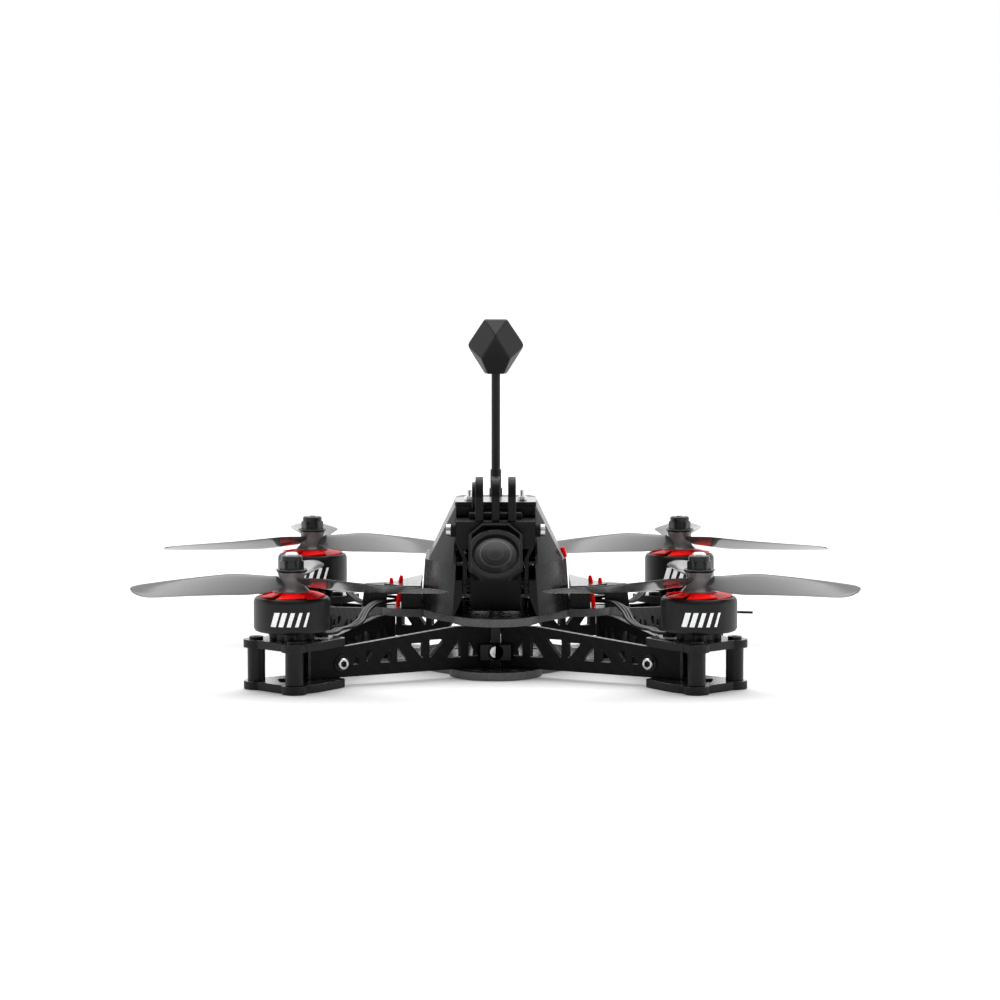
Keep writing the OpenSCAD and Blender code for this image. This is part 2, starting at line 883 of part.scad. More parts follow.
module side_wing() {
    difference() {
        translate([0, 0, mid_top + gap])
            union() {
                // Foot against the pod
                translate([pod_half_w + 0.2, -12, 0])
                    cube([wing_gap_in - pod_half_w - 0.2, 24, wing_top - mid_top - gap]);
                // Outer foot, with a sloped outside
                translate([0, 7, 0])
                    rotate([90, 0, 0])
                        linear_extrude(14)
                            polygon([[wing_gap_out, 0], [51.8, 0], [50.8, 7.6],
                                     [wing_gap_out, 8 - gap]]);
                // Bridge over the wire gap
                translate([pod_half_w + 0.2, -7, wing_gap_top - mid_top])
                    cube([wing_gap_out - pod_half_w, 14, wing_top - wing_gap_top - gap]);
            }
        translate([pod_half_w, -6.5, mid_top]) cube([20, 13, wing_gap_top - mid_top]);
        translate([wing_gap_in + 1, -20, 0]) cube([wing_gap_out - wing_gap_in - 1, 40, wing_gap_top]);
        wing_bolt_hole(1);
    }
}

module side_wing_right() {
    color(black) side_wing();
}

module side_wing_left() {
    color(black) mirror([1, 0, 0]) side_wing();
}

module side_decks() {
    color(carbon)
        mirrored_x()
            difference() {
                translate([0, 0, wing_top + gap])
                    linear_extrude(deck_top - wing_top - gap)
                        polygon([[pod_half_w + 0.3, -20], [36, -18.5], [43, -10],
                                 [40.6, -4.8], [pod_half_w + 0.3, 21.6]]);
                wing_bolt_hole(1);
                translate([40.3, -9, 20]) cylinder(r = 0.9, h = 20, $fn = 24);
            }
}

module red_bolts() {
    color(red) {
        mirrored_x() {
            translate([37.9, -8, mid_top + gap])
                rotate([0, -bolt_lean, 0]) {
                    cylinder(r = 0.85, h = 11, $fn = 24);
                    translate([0, 0, 11]) cylinder(r1 = 0.85, r2 = 0.55, h = 1.3, $fn = 24);
                }
            translate([40.3, -9, wing_top + 0.2]) {
                cylinder(r = 0.8, h = 2.4, $fn = 24);
                translate([0, 0, 2.4]) cylinder(r1 = 0.8, r2 = 0.5, h = 0.9, $fn = 24);
            }
        }
        translate([26.9, -14, ledge_z + 0.35])
            rotate([0, -20, 0]) cylinder(r1 = 0.7, r2 = 0.95, h = 4, $fn = 24);
    }
}

// ------------------------------------------------------------- electronics

board = 36;
stack_at = 15.25;

module board_plate(z, w, l, t) {
    translate([0, 0, z])
        linear_extrude(t)
            difference() {
                rounded([[-w / 2 + 2, -l / 2 + 2], [w / 2 - 2, -l / 2 + 2],
                         [w / 2 - 2, l / 2 - 2], [-w / 2 + 2, l / 2 - 2]], 2);
                four_ways() translate([stack_at, stack_at]) circle(1.7, $fn = 24);
            }
}

module esc_board() {
    color(board_green) {
        board_plate(27, board, board, 1.6);
        four_ways() translate([6.2, 4.5, 28.6 - eps]) cube([7, 7, 1.2]);
        translate([-5, -15, 28.6 - eps]) cube([10, 6, 1.4]);
    }
}

module flight_controller() {
    color(board_green) {
        board_plate(33, board, board, 1.6);
        translate([-4, -4, 34.6 - eps]) cube([8, 8, 1]);
        translate([-4.5, 12, 34.6 - eps]) cube([9, 5.5, 3]);
    }
}

module video_transmitter() {
    color(board_green) {
        board_plate(39.5, board, board, 1.4);
        translate([-9, -8, 40.9 - eps]) cube([18, 16, 3]);
    }
}

module stack_standoffs() {
    color(dark_metal)
        four_ways()
            translate([stack_at, stack_at, mid_top + gap]) {
                cylinder(r = 1.5, h = 20, $fn = 24);
                for (z = [0, 6.4, 12.4])
                    translate([0, 0, z]) cylinder(r = 2.6, h = 4.2, $fn = 24);
            }
}

// Stiff tube of the receiver's antenna, tied to a spacer of the rear right mount
module receiver_antenna() {
    at = [half - ear[1], half - ear[0]];
    rod_r = 0.55;
    color(black) {
        translate([at[0] - 11, at[1] + standoff_r + 0.75, 10.4])
            rotate([0, 91.5, 0]) cylinder(r = rod_r, h = 28, $fn = 24);
        translate([at[0], at[1], 9.4])
            difference() {
                cylinder(r = standoff_r + 0.5, h = 1.4, $fn = 48);
                translate([0, 0, -1]) cylinder(r = standoff_r + gap / 2, h = 4, $fn = 48);
            }
    }
}

module motor_wires() {
    color(black)
        for (s = corners)
            swept_tube([
                for (i = [0:len(wire_route) - 1])
                    let (p = wire_route[s[0] * s[1] > 0 ? i : len(wire_route) - 1 - i])
                        [-s[0] * p[0], -s[1] * p[1], p[2]]
            ], wire_r);
}

// ----------------------------------------------------------------- antenna

module antenna_connector() {
    color(black)
        translate([0, antenna_y, 0]) {
            translate([0, 0, pod_top - 4]) cylinder(r = 3.2, h = 4, $fn = 32);
            translate([0, 0, pod_top]) cylinder(r = 2.6, h = 3.1, $fn = 6);
            translate([0, 0, pod_top + 3.1]) cylinder(r = 2.2, h = 7.5, $fn = 32);
        }
}

module antenna_mast() {
    color(black)
        translate([0, antenna_y, pod_top + 10.6 + gap])
            cylinder(r = 1.75, h = antenna_top - head_h - pod_top - 10.6 - gap, $fn = 32);
}

// Faceted head: an eight-sided cup that is widest above its middle
module antenna_head() {
    z0 = antenna_top - head_h;
    color(black)
        translate([0, antenna_y, z0 + gap]) {
            cylinder(r1 = 4.4, r2 = head_half_w, h = 13.5, $fn = 8);
            translate([0, 0, 13.5])
                cylinder(r1 = head_half_w, r2 = 4.6, h = head_h - 13.6, $fn = 8);
        }
}

// ------------------------------------------------------------------ camera

camera_axis = [0, -cos(camera_tilt), sin(camera_tilt)];
camera_pivot = camera_front - pivot_back * camera_axis;

// Camera frame: +Z forward along the optical axis, +Y up, origin at the pivot
module in_camera()
    translate(camera_pivot) rotate([90 - camera_tilt, 0, 0]) children();

// Octagonal bezel, 3 mm taller above the axis than below
bezel_half_w = 10.15;
bezel_low = -9.5;
bezel_high = 15.5;
bezel_cut = 5.2;
bezel_t = 3;
// Domed front glass, on a seat in front of the bezel
dome_seat = 0.9;
dome_edge_r = 8.7;
dome_rise = 2.1;
dome_r = (dome_edge_r * dome_edge_r + dome_rise * dome_rise) / (2 * dome_rise);

module bezel_outline(d) {
    polygon([
        [-bezel_half_w + bezel_cut, bezel_low + d], [bezel_half_w - bezel_cut, bezel_low + d],
        [bezel_half_w - d, bezel_low + bezel_cut], [bezel_half_w - d, bezel_high - bezel_cut],
        [bezel_half_w - bezel_cut, bezel_high - d], [-bezel_half_w + bezel_cut, bezel_high - d],
        [-bezel_half_w + d, bezel_high - bezel_cut], [-bezel_half_w + d, bezel_low + bezel_cut],
    ]);
}

module camera_body() {
    color(black)
        in_camera()
            difference() {
                union() {
                    translate([-camera_half_w, -8.5, -5])
                        cube([2 * camera_half_w, 17, pivot_back + 5 - bezel_t + eps]);
                    translate([0, 0, pivot_back - bezel_t])
                        linear_extrude(bezel_t)
                            difference() {
                                bezel_outline(0);
                                circle(8.6);
                            }
                }
                translate([0, 0, 2]) cylinder(r = 8, h = pivot_back);
                translate([0, 0, pivot_back - 2.2]) linear_extrude(3) bezel_outline(1.1);
                mirrored_x()
                    translate([camera_half_w - 5, 0, 0])
                        rotate([0, 90, 0]) cylinder(r = pivot_r, h = 6, $fn = 32);
            }
}

module camera_lens() {
    color(black)
        in_camera()
            difference() {
                union() {
                    translate([0, 0, 4]) cylinder(r = 7.8, h = pivot_back - 4);
                    intersection() {
                        translate([0, 0, pivot_back + gap]) cylinder(r = 11, h = 2);
                        translate([-9.2, -12, 0]) cube([18.4, 24, 40]);
                    }
                    translate([0, 0, pivot_back - eps]) cylinder(r = 7.8, h = 0.3);
                }
                translate([0, 0, pivot_back + dome_seat]) cylinder(r = dome_edge_r + gap, h = 3);
                translate([0, 0, pivot_back - 3]) cylinder(r = 4.6, h = 5);
            }
}

module camera_glass() {
    color(smoke)
        in_camera()
            intersection() {
                translate([0, 0, pivot_back + dome_seat + dome_rise - dome_r])
                    sphere(r = dome_r, $fn = 96);
                translate([0, 0, pivot_back + dome_seat + gap / 2])
                    cylinder(r = dome_edge_r, h = 5, $fn = 96);
            }
}

module camera_pivot_screws() {
    color(silver)
        translate(camera_pivot)
            mirrored_x()
                rotate([0, 90, 0]) {
                    translate([0, 0, camera_half_w - 4]) cylinder(r = pivot_r - 0.02, h = 8, $fn = 32);
                    translate([0, 0, camera_half_w + gap]) cylinder(r = 2, h = 1.2, $fn = 32);
                    translate([0, 0, 12.6]) cylinder(r = 1.6, h = 1.3, $fn = 32);
                }
}

bottom_plate();
mid_plate();
arm_plates(0);  // arm_plates_front_left
arm_plates(1);  // arm_plates_front_right
arm_plates(2);  // arm_plates_rear_left
arm_plates(3);  // arm_plates_rear_right
motor_mount_tops();
motor_mount_bottoms();
mount_standoffs();
mount_screws();
arm_cross_bolts();
vertex_blocks();
vertex_bolts();
motor_bases();
motor_bearings();
stator_cores();
stator_windings();
motor_bell(0);  // motor_bell_front_left
motor_bell(1);  // motor_bell_front_right
motor_bell(2);  // motor_bell_rear_left
motor_bell(3);  // motor_bell_rear_right
bell_cap(0);  // bell_cap_front_left
bell_cap(1);  // bell_cap_front_right
bell_cap(2);  // bell_cap_rear_left
bell_cap(3);  // bell_cap_rear_right
motor_shaft(0);  // motor_shaft_front_left
motor_shaft(1);  // motor_shaft_front_right
motor_shaft(2);  // motor_shaft_rear_left
motor_shaft(3);  // motor_shaft_rear_right
propeller(0);  // propeller_front_left
propeller(1);  // propeller_front_right
propeller(2);  // propeller_rear_left
propeller(3);  // propeller_rear_right
prop_nut(0);  // prop_nut_front_left
prop_nut(1);  // prop_nut_front_right
prop_nut(2);  // prop_nut_rear_left
prop_nut(3);  // prop_nut_rear_right
pod_side_left();
pod_side_right();
pod_top_plate();
pod_screws();
side_wing_left();
side_wing_right();
side_decks();
red_bolts();
action_mount();
camera_cage();
esc_board();
flight_controller();
video_transmitter();
stack_standoffs();
receiver_antenna();
motor_wires();
antenna_connector();
antenna_mast();
antenna_head();
camera_body();
camera_lens();
camera_glass();
camera_pivot_screws();
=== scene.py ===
"""Looks for the five-inch racing drone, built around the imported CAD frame."""

import json
import math
import random

import bmesh
import bpy
from mathutils import Matrix, Vector

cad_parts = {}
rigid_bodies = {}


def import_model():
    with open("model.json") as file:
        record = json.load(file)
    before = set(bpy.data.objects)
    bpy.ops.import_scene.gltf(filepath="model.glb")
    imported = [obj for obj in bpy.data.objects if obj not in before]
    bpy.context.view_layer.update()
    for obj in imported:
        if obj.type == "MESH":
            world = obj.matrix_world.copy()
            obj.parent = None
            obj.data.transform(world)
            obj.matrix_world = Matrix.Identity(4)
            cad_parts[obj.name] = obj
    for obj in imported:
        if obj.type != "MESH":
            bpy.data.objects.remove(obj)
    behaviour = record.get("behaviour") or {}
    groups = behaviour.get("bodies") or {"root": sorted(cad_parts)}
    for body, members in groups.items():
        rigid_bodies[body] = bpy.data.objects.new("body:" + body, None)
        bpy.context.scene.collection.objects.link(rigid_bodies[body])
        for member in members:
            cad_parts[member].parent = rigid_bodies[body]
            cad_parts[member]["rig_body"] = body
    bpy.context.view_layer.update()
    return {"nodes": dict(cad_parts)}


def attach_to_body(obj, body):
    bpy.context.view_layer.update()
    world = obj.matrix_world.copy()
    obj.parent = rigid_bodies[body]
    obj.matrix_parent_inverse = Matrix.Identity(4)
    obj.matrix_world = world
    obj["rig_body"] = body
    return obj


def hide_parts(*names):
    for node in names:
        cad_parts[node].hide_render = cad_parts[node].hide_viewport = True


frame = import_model()

MM = 0.001
SCENE = bpy.context.scene

# Signs of X and Y at the four corners
CORNERS = {
    "front_left": (-1, -1),
    "front_right": (1, -1),
    "rear_left": (-1, 1),
    "rear_right": (1, 1),
}

# Sizes and heights that the CAD gives, in millimetres
MOTOR_AT = 75.0
BELL_R = 14.1
BELL_Z = 21.7
HUB_Z = 36.1
HUB_H = 7.3
HUB_R = 6.5
NUT_Z = 43.4
SHAFT_R = 2.5


# ------------------------------------------------------------------ materials


class Graph:
    """A material's node tree, built with short calls."""

    def __init__(self, name):
        self.mat = bpy.data.materials.new(name)
        self.mat.use_nodes = True
        self.tree = self.mat.node_tree
        self.tree.nodes.clear()
        output = self.tree.nodes.new("ShaderNodeOutputMaterial")
        self.shader = self.tree.nodes.new("ShaderNodeBsdfPrincipled")
        self.tree.links.new(self.shader.outputs[0], output.inputs[0])

    def put(self, socket, value):
        """Links a socket's output to an input, or sets the input to a value."""
        if isinstance(value, bpy.types.NodeSocket):
            self.tree.links.new(value, socket)
        else:
            socket.default_value = value

    def add(self, kind, inputs=None, out=0, **settings):
        """A new node with its inputs filled; returns one of its outputs."""
        node = self.tree.nodes.new("ShaderNode" + kind)
        for key, value in settings.items():
            setattr(node, key, value)
        for key, value in (inputs or {}).items():
            self.put(node.inputs[key], value)
        return node.outputs[out]

    def math(self, op, a, b=0.0, c=0.0):
        return self.add("Math", {0: a, 1: b, 2: c}, operation=op)

    def mix(self, factor, a, b):
        """Between two numbers."""
        return self.add("Mix", {0: factor, 2: a, 3: b})

    def blend(self, factor, a, b):
        """Between two colours."""
        return self.add("Mix", {0: factor, 6: a, 7: b}, out=2, data_type="RGBA")

    def place(self, out="Object"):
        return self.add("TexCoord", out=out)

    def noise(self, scale, detail=3.0, roughness=0.5, at=None):
        return self.add(
            "TexNoise",
            {
                "Vector": at or self.place(),
                "Scale": scale,
                "Detail": detail,
                "Roughness": roughness,
            },
        )

    def bump(self, height, strength, distance):
        self.put(
            self.shader.inputs["Normal"],
            self.add("Bump", {"Height": height, "Strength": strength, "Distance": distance}),
        )

    def set(self, **values):
        """Fills the shader's sockets, named with _ for each space."""
        for key, value in values.items():
            self.put(self.shader.inputs[key.replace("_", " ")], value)


def grey(value, tint=(1.0, 1.0, 1.0)):
    return (value * tint[0], value * tint[1], value * tint[2], 1.0)


def finish(
    name,
    low,
    high,
    rough,
    metallic=0.0,
    scale=260.0,
    grain=4200.0,
    depth=0.00003,
    strength=0.25,
    coat=0.0,
    specular=0.2,
    glow=0.0,
):
    """A plastic or metal with colour patches, uneven gloss and a fine grain, and, where glow is
    set, a painted glow of its lighter colour.
    """
    g = Graph(name)
    patches = g.noise(scale, 4.0, 0.6)
    g.set(
        Base_Color=g.blend(patches, low, high),
        Roughness=g.mix(g.noise(scale * 2.7, 3.0), rough[0], rough[1]),
        Metallic=metallic,
        Coat_Weight=coat,
        Coat_Roughness=0.15,
        Specular_IOR_Level=specular,
        # Painted light: the lighter colour glows, though the part is no lamp
        Emission_Color=high,
        Emission_Strength=glow,
    )
    g.bump(g.noise(grain, 2.0, 0.6), strength, depth)
    return g.mat


# Width of a carbon tow, thickness of a ply, and the weave's repeat in tows
TOW = 1.6 * MM
PLY = 0.28 * MM
TWILL = 4.0
TWILL_OVER = 1.5


def carbon(name, upright, dark, light, edge, gloss, specular):
    """Twill carbon plate: woven tows on its broad faces, plies on its cut edges."""
    g = Graph(name)
    x, y, z = g.add("SeparateXYZ", {0: g.place()}).node.outputs
    normal = g.add("NewGeometry", out="True Normal")
    nx, ny, nz = g.add("SeparateXYZ", {0: normal}).node.outputs
    level = g.math("GREATER_THAN", g.math("ABSOLUTE", nz), 0.7)
    along = g.math("SUBTRACT", g.math("MULTIPLY", y, nx), g.math("MULTIPLY", x, ny))
    u = g.mix(level, along, x)
    v = g.mix(level, z, y)
    u = g.math("DIVIDE", u, TOW)
    v = g.math("DIVIDE", v, TOW)
    step = g.math("ADD", g.math("FLOOR", u), g.math("FLOOR", v))
    over = g.math("LESS_THAN", g.math("FLOORED_MODULO", step, TWILL), TWILL_OVER)
    across = g.mix(over, g.math("FRACT", u), g.math("FRACT", v))
    side = g.math("ABSOLUTE", g.math("SUBTRACT", across, 0.5))
    crown = g.math("SUBTRACT", 1.0, g.math("MULTIPLY", side, side))
    fibre = g.noise(5200.0, 2.0, 0.7)
    tone = g.math("MULTIPLY", over, 0.55)
    tone = g.math("ADD", tone, g.math("MULTIPLY", fibre, 0.45))
    weave = g.blend(tone, dark, light)
    plies = g.math("SINE", g.math("MULTIPLY", z, 2 * math.pi / PLY))
    cut_tone = g.math("ADD", g.math("MULTIPLY", plies, 0.25), g.noise(900.0))
    cut = g.blend(cut_tone, grey(edge * 0.6), grey(edge * 1.3))
    broad = g.math("SUBTRACT", 1.0, level) if upright else level
    g.set(
        Base_Color=g.blend(broad, cut, weave),
        Roughness=g.mix(broad, 0.6, g.mix(over, gloss, gloss + 0.08)),
        Specular_IOR_Level=specular,
        Coat_Weight=0.0 if upright else broad,
        Coat_Roughness=0.22,
    )
    height = g.mix(broad, g.math("MULTIPLY", plies, 0.3), crown)
    g.bump(height, 0.25, 0.00004)
    return g.mat


def smoked_plastic(name, low, high, clear):
    """Clear grey polycarbonate with faint flow lines."""
    g = Graph(name)
    flow = g.noise(60.0, 2.0)
    g.set(
        Base_Color=g.blend(flow, grey(low), grey(high)),
        Roughness=g.mix(g.noise(180.0), 0.1, 0.15),
        Transmission_Weight=clear,
        IOR=1.45,
        Specular_IOR_Level=0.15,
    )
    g.bump(g.noise(900.0), 0.04, 0.00003)
    return g.mat


def red_anodised():
    """Bright red metal that keeps its colour in shade, by a faint glow."""
    g = Graph("red_anodised")
    g.set(
        Base_Color=g.blend(g.noise(350.0), (0.8, 0.0, 0.0, 1), (1.0, 0.0, 0.0, 1)),
        Roughness=g.mix(g.noise(800.0), 0.35, 0.45),
        Specular_IOR_Level=0.15,
        Emission_Color=(1.0, 0.0, 0.0, 1),
        Emission_Strength=0.12,
    )
    g.bump(g.noise(6000.0), 0.15, 0.00002)
    return g.mat


def turned_metal(name, low, high, rough):
    """Metal with fine turning marks, level all round."""
    g = Graph(name)
    at = g.place()
    rings = g.add(
        "TexWave",
        {"Vector": at, "Scale": 1400.0, "Distortion": 1.5, "Detail": 2.0},
        wave_type="BANDS",
        bands_direction="Z",
        out=1,
    )
    g.set(
        Base_Color=g.blend(g.noise(500.0, at=at), low, high),
        Roughness=g.mix(g.noise(1300.0, at=at), rough[0], rough[1]),
        Metallic=1.0,
    )
    g.bump(rings, 0.12, 0.00002)
    return g.mat


def copper_wire():
    """Enamelled copper with a turn of wire every millimetre or so; its colour is painted darker in
    the grooves between turns, as painted shade.
    """
    g = Graph("copper_enamel")
    wires = g.add(
        "TexWave",
        {"Vector": g.place(), "Scale": 900.0, "Distortion": 0.4},
        wave_type="BANDS",
        bands_direction="Z",
        out=1,
    )
    # The same bands darken the grooves between turns: painted shade
    g.set(
        Base_Color=g.blend(wires, (0.16, 0.045, 0.015, 1), (0.62, 0.24, 0.09, 1)),
        Roughness=0.32,
        Metallic=0.85,
    )
    g.bump(wires, 0.7, 0.0002)
    return g.mat


def circuit_board():
    """Dark solder mask with a grid of traces and round tinned pads."""
    g = Graph("solder_mask")
    at = g.place()
    tracks = g.add(
        "TexBrick",
        {
            "Vector": at,
            "Color1": (0.004, 0.02, 0.014, 1),
            "Color2": (0.006, 0.035, 0.022, 1),
            "Mortar": (0.05, 0.12, 0.06, 1),
            "Scale": 420.0,
            "Mortar Size": 0.03,
        },
    )
    pads = g.add("TexVoronoi", {"Vector": at, "Scale": 700.0})
    pad = g.math("LESS_THAN", pads, 0.16)
    g.set(
        Base_Color=g.blend(pad, tracks, (0.55, 0.5, 0.38, 1)),
        Roughness=g.mix(pad, 0.42, 0.25),
        Metallic=g.math("MULTIPLY", pad, 0.9),
        Coat_Weight=0.3,
    )
    g.bump(tracks, 0.2, 0.00004)
    return g.mat


def lens_glass():
    """Nearly black coated glass."""
    g = Graph("lens_glass")
    g.set(
        Base_Color=g.blend(g.noise(60.0), grey(0.012), grey(0.016)),
        Roughness=g.mix(g.noise(200.0), 0.42, 0.5),
        Specular_IOR_Level=0.25,
        Coat_Weight=0.12,
        Coat_Roughness=0.08,
    )
    return g.mat


def make_materials():
    """Every finish by its slot or role. Greys are linear, roughness a (low, high) pair."""
    cool = (0.93, 1.0, 1.0)
    weave = (grey(0.01), grey(0.03))
    # A darker copy of the weave: painted shade on the arms' upright faces
    painted_shade_weave = (grey(0.003), grey(0.009))
    return {
        "carbon_plate": carbon("carbon_flat", False, *weave, edge=0.014, gloss=0.25, specular=0.25),
        # Cut edges painted lighter than the other plates' edges: cut carbon's own lighter edge, and
        # painted light
        "carbon_edge": carbon("carbon_centre", False, *weave, edge=0.14, gloss=0.25, specular=0.3),
        # Painted light and shade: darker upright faces, and light horizontal edges that stand in
        # for the lit top edges
        "carbon_arm": carbon(
            "carbon_upright", True, *painted_shade_weave, edge=0.3, gloss=0.45, specular=0.12
        ),
        "black_anodised": finish(
            "anodised_black", grey(0.008), grey(0.013), (0.3, 0.42), specular=0.2
        ),
        "black_steel": finish("black_oxide", grey(0.004), grey(0.01), (0.3, 0.45)),
        "bright_steel": turned_metal(
            "stainless", grey(0.6), grey(0.78), (0.26, 0.4)
        ),
        "moulded_black": finish(
            "moulded_shell", grey(0.007), grey(0.011), (0.24, 0.32), grain=2600.0,
            depth=0.00006, strength=0.12, specular=0.14,
        ),
        "motor_metal": finish(
            "bell_anodised", grey(0.008, cool), grey(0.012, cool), (0.34, 0.44),
            scale=120.0, strength=0.12, specular=0.24,
        ),
        "stator_steel": turned_metal("stator_steel", grey(0.12), grey(0.2), (0.35, 0.5)),
        "copper_wire": copper_wire(),
        "red_anodised": red_anodised(),
        "smoked_blade": smoked_plastic("smoked_polycarbonate", 0.055, 0.078, 0.24),
        "smoked_hub": smoked_plastic("smoked_polycarbonate_hub", 0.3, 0.36, 0.5),
        "hub_core": finish("hub_core", grey(0.05), grey(0.09), (0.3, 0.4)),
        "dark_nut": finish(
            "nut_anodised", grey(0.02, cool), grey(0.034, cool), (0.24, 0.32), 0.6, specular=0.4
        ),
        "circuit_board": circuit_board(),
        "wire_sleeve": finish(
            "silicone_sleeve", grey(0.008), grey(0.014), (0.3, 0.42), coat=0.1
        ),
        "black_fitting": finish("fitting_anodised", grey(0.012), grey(0.02), (0.3, 0.4), 0.3),
        "antenna_plastic": finish(
            "antenna_shell", grey(0.011), grey(0.016), (0.3, 0.4), grain=3000.0
        ),
        "camera_plastic": finish(
            "camera_shell", grey(0.008), grey(0.014), (0.32, 0.45), grain=3500.0
        ),
        "lens_glass": lens_glass(),
        "ring_silver": turned_metal("ring_silver", grey(0.12), grey(0.17), (0.35, 0.45)),
        "ring_grey": finish("ring_grey", grey(0.05), grey(0.08), (0.3, 0.4)),
        "rubber": finish("rubber", grey(0.006), grey(0.012), (0.6, 0.75)),
        # The white print glows faintly: painted light that keeps it bright
        "white_print": finish("white_print", grey(0.88), grey(0.94), (0.5, 0.6), glow=0.25),
        "magnet": turned_metal("magnet_nickel", grey(0.4), grey(0.55), (0.25, 0.4)),
        "chip": finish("chip_resin", grey(0.01), grey(0.02), (0.5, 0.65)),
    }


MATERIALS = make_materials()

# Slot of the record that each refined CAD node takes, by the start of its name
SLOT_OF = {
    "bottom_plate": "carbon_plate",
    "mid_plate": "carbon_plate",
    "pod_top_plate": "carbon_plate",
    "side_decks": "carbon_plate",
    "motor_mount": "carbon_plate",
    "arm_plates": "carbon_arm",
    "mount_standoffs": "black_anodised",
    "mount_screws": "black_steel",
    "vertex_blocks": "black_anodised",
    "vertex_bolts": "bright_steel",
    "motor_bases": "motor_metal",
    "motor_bearings": "bright_steel",
    "stator_cores": "motor_metal",
    "motor_bell": "motor_metal",
    "bell_cap": "red_anodised",
    "motor_shaft": "bright_steel",
    "pod_side": "moulded_black",
    "pod_screws": "bright_steel",
    "side_wing": "moulded_black",
    "red_bolts": "red_anodised",
    "action_mount": "moulded_black",
    "camera_cage": "moulded_black",
    "esc_board": "circuit_board",
    "flight_controller": "circuit_board",
    "video_transmitter": "circuit_board",
    "stack_standoffs": "black_anodised",
    "receiver_antenna": "wire_sleeve",
    "antenna_connector": "black_fitting",
    "antenna_mast": "antenna_plastic",
    "camera_body": "camera_plastic",
    "camera_lens": "camera_plastic",
    "camera_pivot_screws": "black_steel",
}
# Nodes whose finish differs from the common one of their slot
FINISH_OF = {
    "bottom_plate": "carbon_edge",
    "mid_plate": "carbon_edge",
    "stator_cores": "stator_steel",
}


def by_start(table, node):
    """The entry of a table whose key is the longest start of a node's name."""
    return table[max((k for k in table if node.startswith(k)), key=len)]


def slot_of(node):
    return by_start(SLOT_OF, node)


def finish_of(node):
    return MATERIALS[FINISH_OF.get(node, slot_of(node))]


# ------------------------------------------------------------- mesh building


def new_object(name, bm, materials, smooth=35.0):
    """An object from a bmesh in metres, smooth except at edges above an angle."""
    mesh = bpy.data.meshes.new(name)
    bmesh.ops.recalc_face_normals(bm, faces=bm.faces)
    bm.to_mesh(mesh)
    bm.free()
    for material in materials if isinstance(materials, (list, tuple)) else [materials]:
        mesh.materials.append(material)
    mesh.shade_smooth()
    mesh.set_sharp_from_angle(angle=math.radians(smooth))
    piece = bpy.data.objects.new(name, mesh)
    SCENE.collection.objects.link(piece)
    return piece


def attach(piece, body, slot, *nodes):
    """Rides the piece on a body and hides the CAD nodes it stands for; the slot is not used."""
    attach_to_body(piece, body)
    if nodes:
        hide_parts(*nodes)


def apply_modifiers(piece):
    """Replaces a piece's mesh by its mesh with the modifiers applied."""
    bpy.context.view_layer.update()
    graph = bpy.context.evaluated_depsgraph_get()
    mesh = bpy.data.meshes.new_from_object(piece.evaluated_get(graph))
    piece.modifiers.clear()
    old = piece.data
    piece.data = mesh
    bpy.data.meshes.remove(old)


def soften(piece, width, segments=2, angle=30.0):
    """Rounds the edges of a piece, and keeps its flat faces flat to the light."""
    bevel = piece.modifiers.new("edges", "BEVEL")
    bevel.width = width * MM
    bevel.segments = segments
    bevel.limit_method = "ANGLE"
    bevel.angle_limit = math.radians(angle)
    bevel.miter_outer = "MITER_ARC"
    weighted = piece.modifiers.new("normals", "WEIGHTED_NORMAL")
    weighted.keep_sharp = True
    apply_modifiers(piece)


# Corners of a CAD mesh nearer than this, in metres, are one
WELD = 2e-6


def merge_flat_faces(bm, degrees):
    """Joins neighbouring faces that meet at less than an angle."""
    bmesh.ops.dissolve_limit(
        bm, angle_limit=math.radians(degrees), verts=bm.verts, edges=bm.edges
    )


def refined(node, width):
    """The CAD node's shape with rounded edges and its finish."""
    bm = bmesh.new()
    cad = frame["nodes"][node]
    bm.from_mesh(cad.data)
    bmesh.ops.remove_doubles(bm, verts=bm.verts, dist=WELD)
    merge_flat_faces(bm, 0.6)
    materials = [finish_of(node)]
    if node in PAINT:
        name, painted = PAINT[node]
        materials.append(MATERIALS[name])
        for face in bm.faces:
            if painted(face.calc_center_median() / MM):
                face.material_index = 1
    piece = new_object("fine_" + node, bm, materials, 40.0)
    soften(piece, width)
    attach(piece, cad["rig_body"], slot_of(node), node)


def skin(bm, rings, loop=False):
    """Bands of quads between rings of vertices, with caps unless they make a loop."""
    pairs = list(zip(rings, rings[1:]))
    if loop:
        pairs.append((rings[-1], rings[0]))
    faces = []
    for low, high in pairs:
        count = len(low)
        for k in range(count):
            n = (k + 1) % count
            faces.append(bm.faces.new((low[k], low[n], high[n], high[k])))
    if not loop:
        faces += [bm.faces.new(rings[0]), bm.faces.new(rings[-1])]
    return faces


def turns(sides):
    """Equally spaced angles once round a circle."""
    return [2 * math.pi * k / sides for k in range(sides)]


def hex_reach(corner, a):
    """How far a hexagon reaches at an angle, with its corners at a distance."""
    off = (a + math.pi / 6) % (math.pi / 3) - math.pi / 6
    return corner * math.cos(math.pi / 6) / math.cos(off)


def lathe(bm, profile, centre, sides=72, loop=True):
    """Turns a profile of (radius, height) round the upright axis at centre."""
    rings = []
    for r, z in profile:
        ring = []
        for a in turns(sides):
            at = (centre[0] + r * math.cos(a), centre[1] + r * math.sin(a), z)
            ring.append(bm.verts.new(Vector(at) * MM))
        rings.append(ring)
    skin(bm, rings, loop)


# Corners of a block's six faces, its corners counted with Z fastest and X slowest
BLOCK_FACES = (
    (0, 1, 3, 2), (4, 6, 7, 5), (0, 4, 5, 1), (2, 3, 7, 6), (0, 2, 6, 4), (1, 5, 7, 3),
)


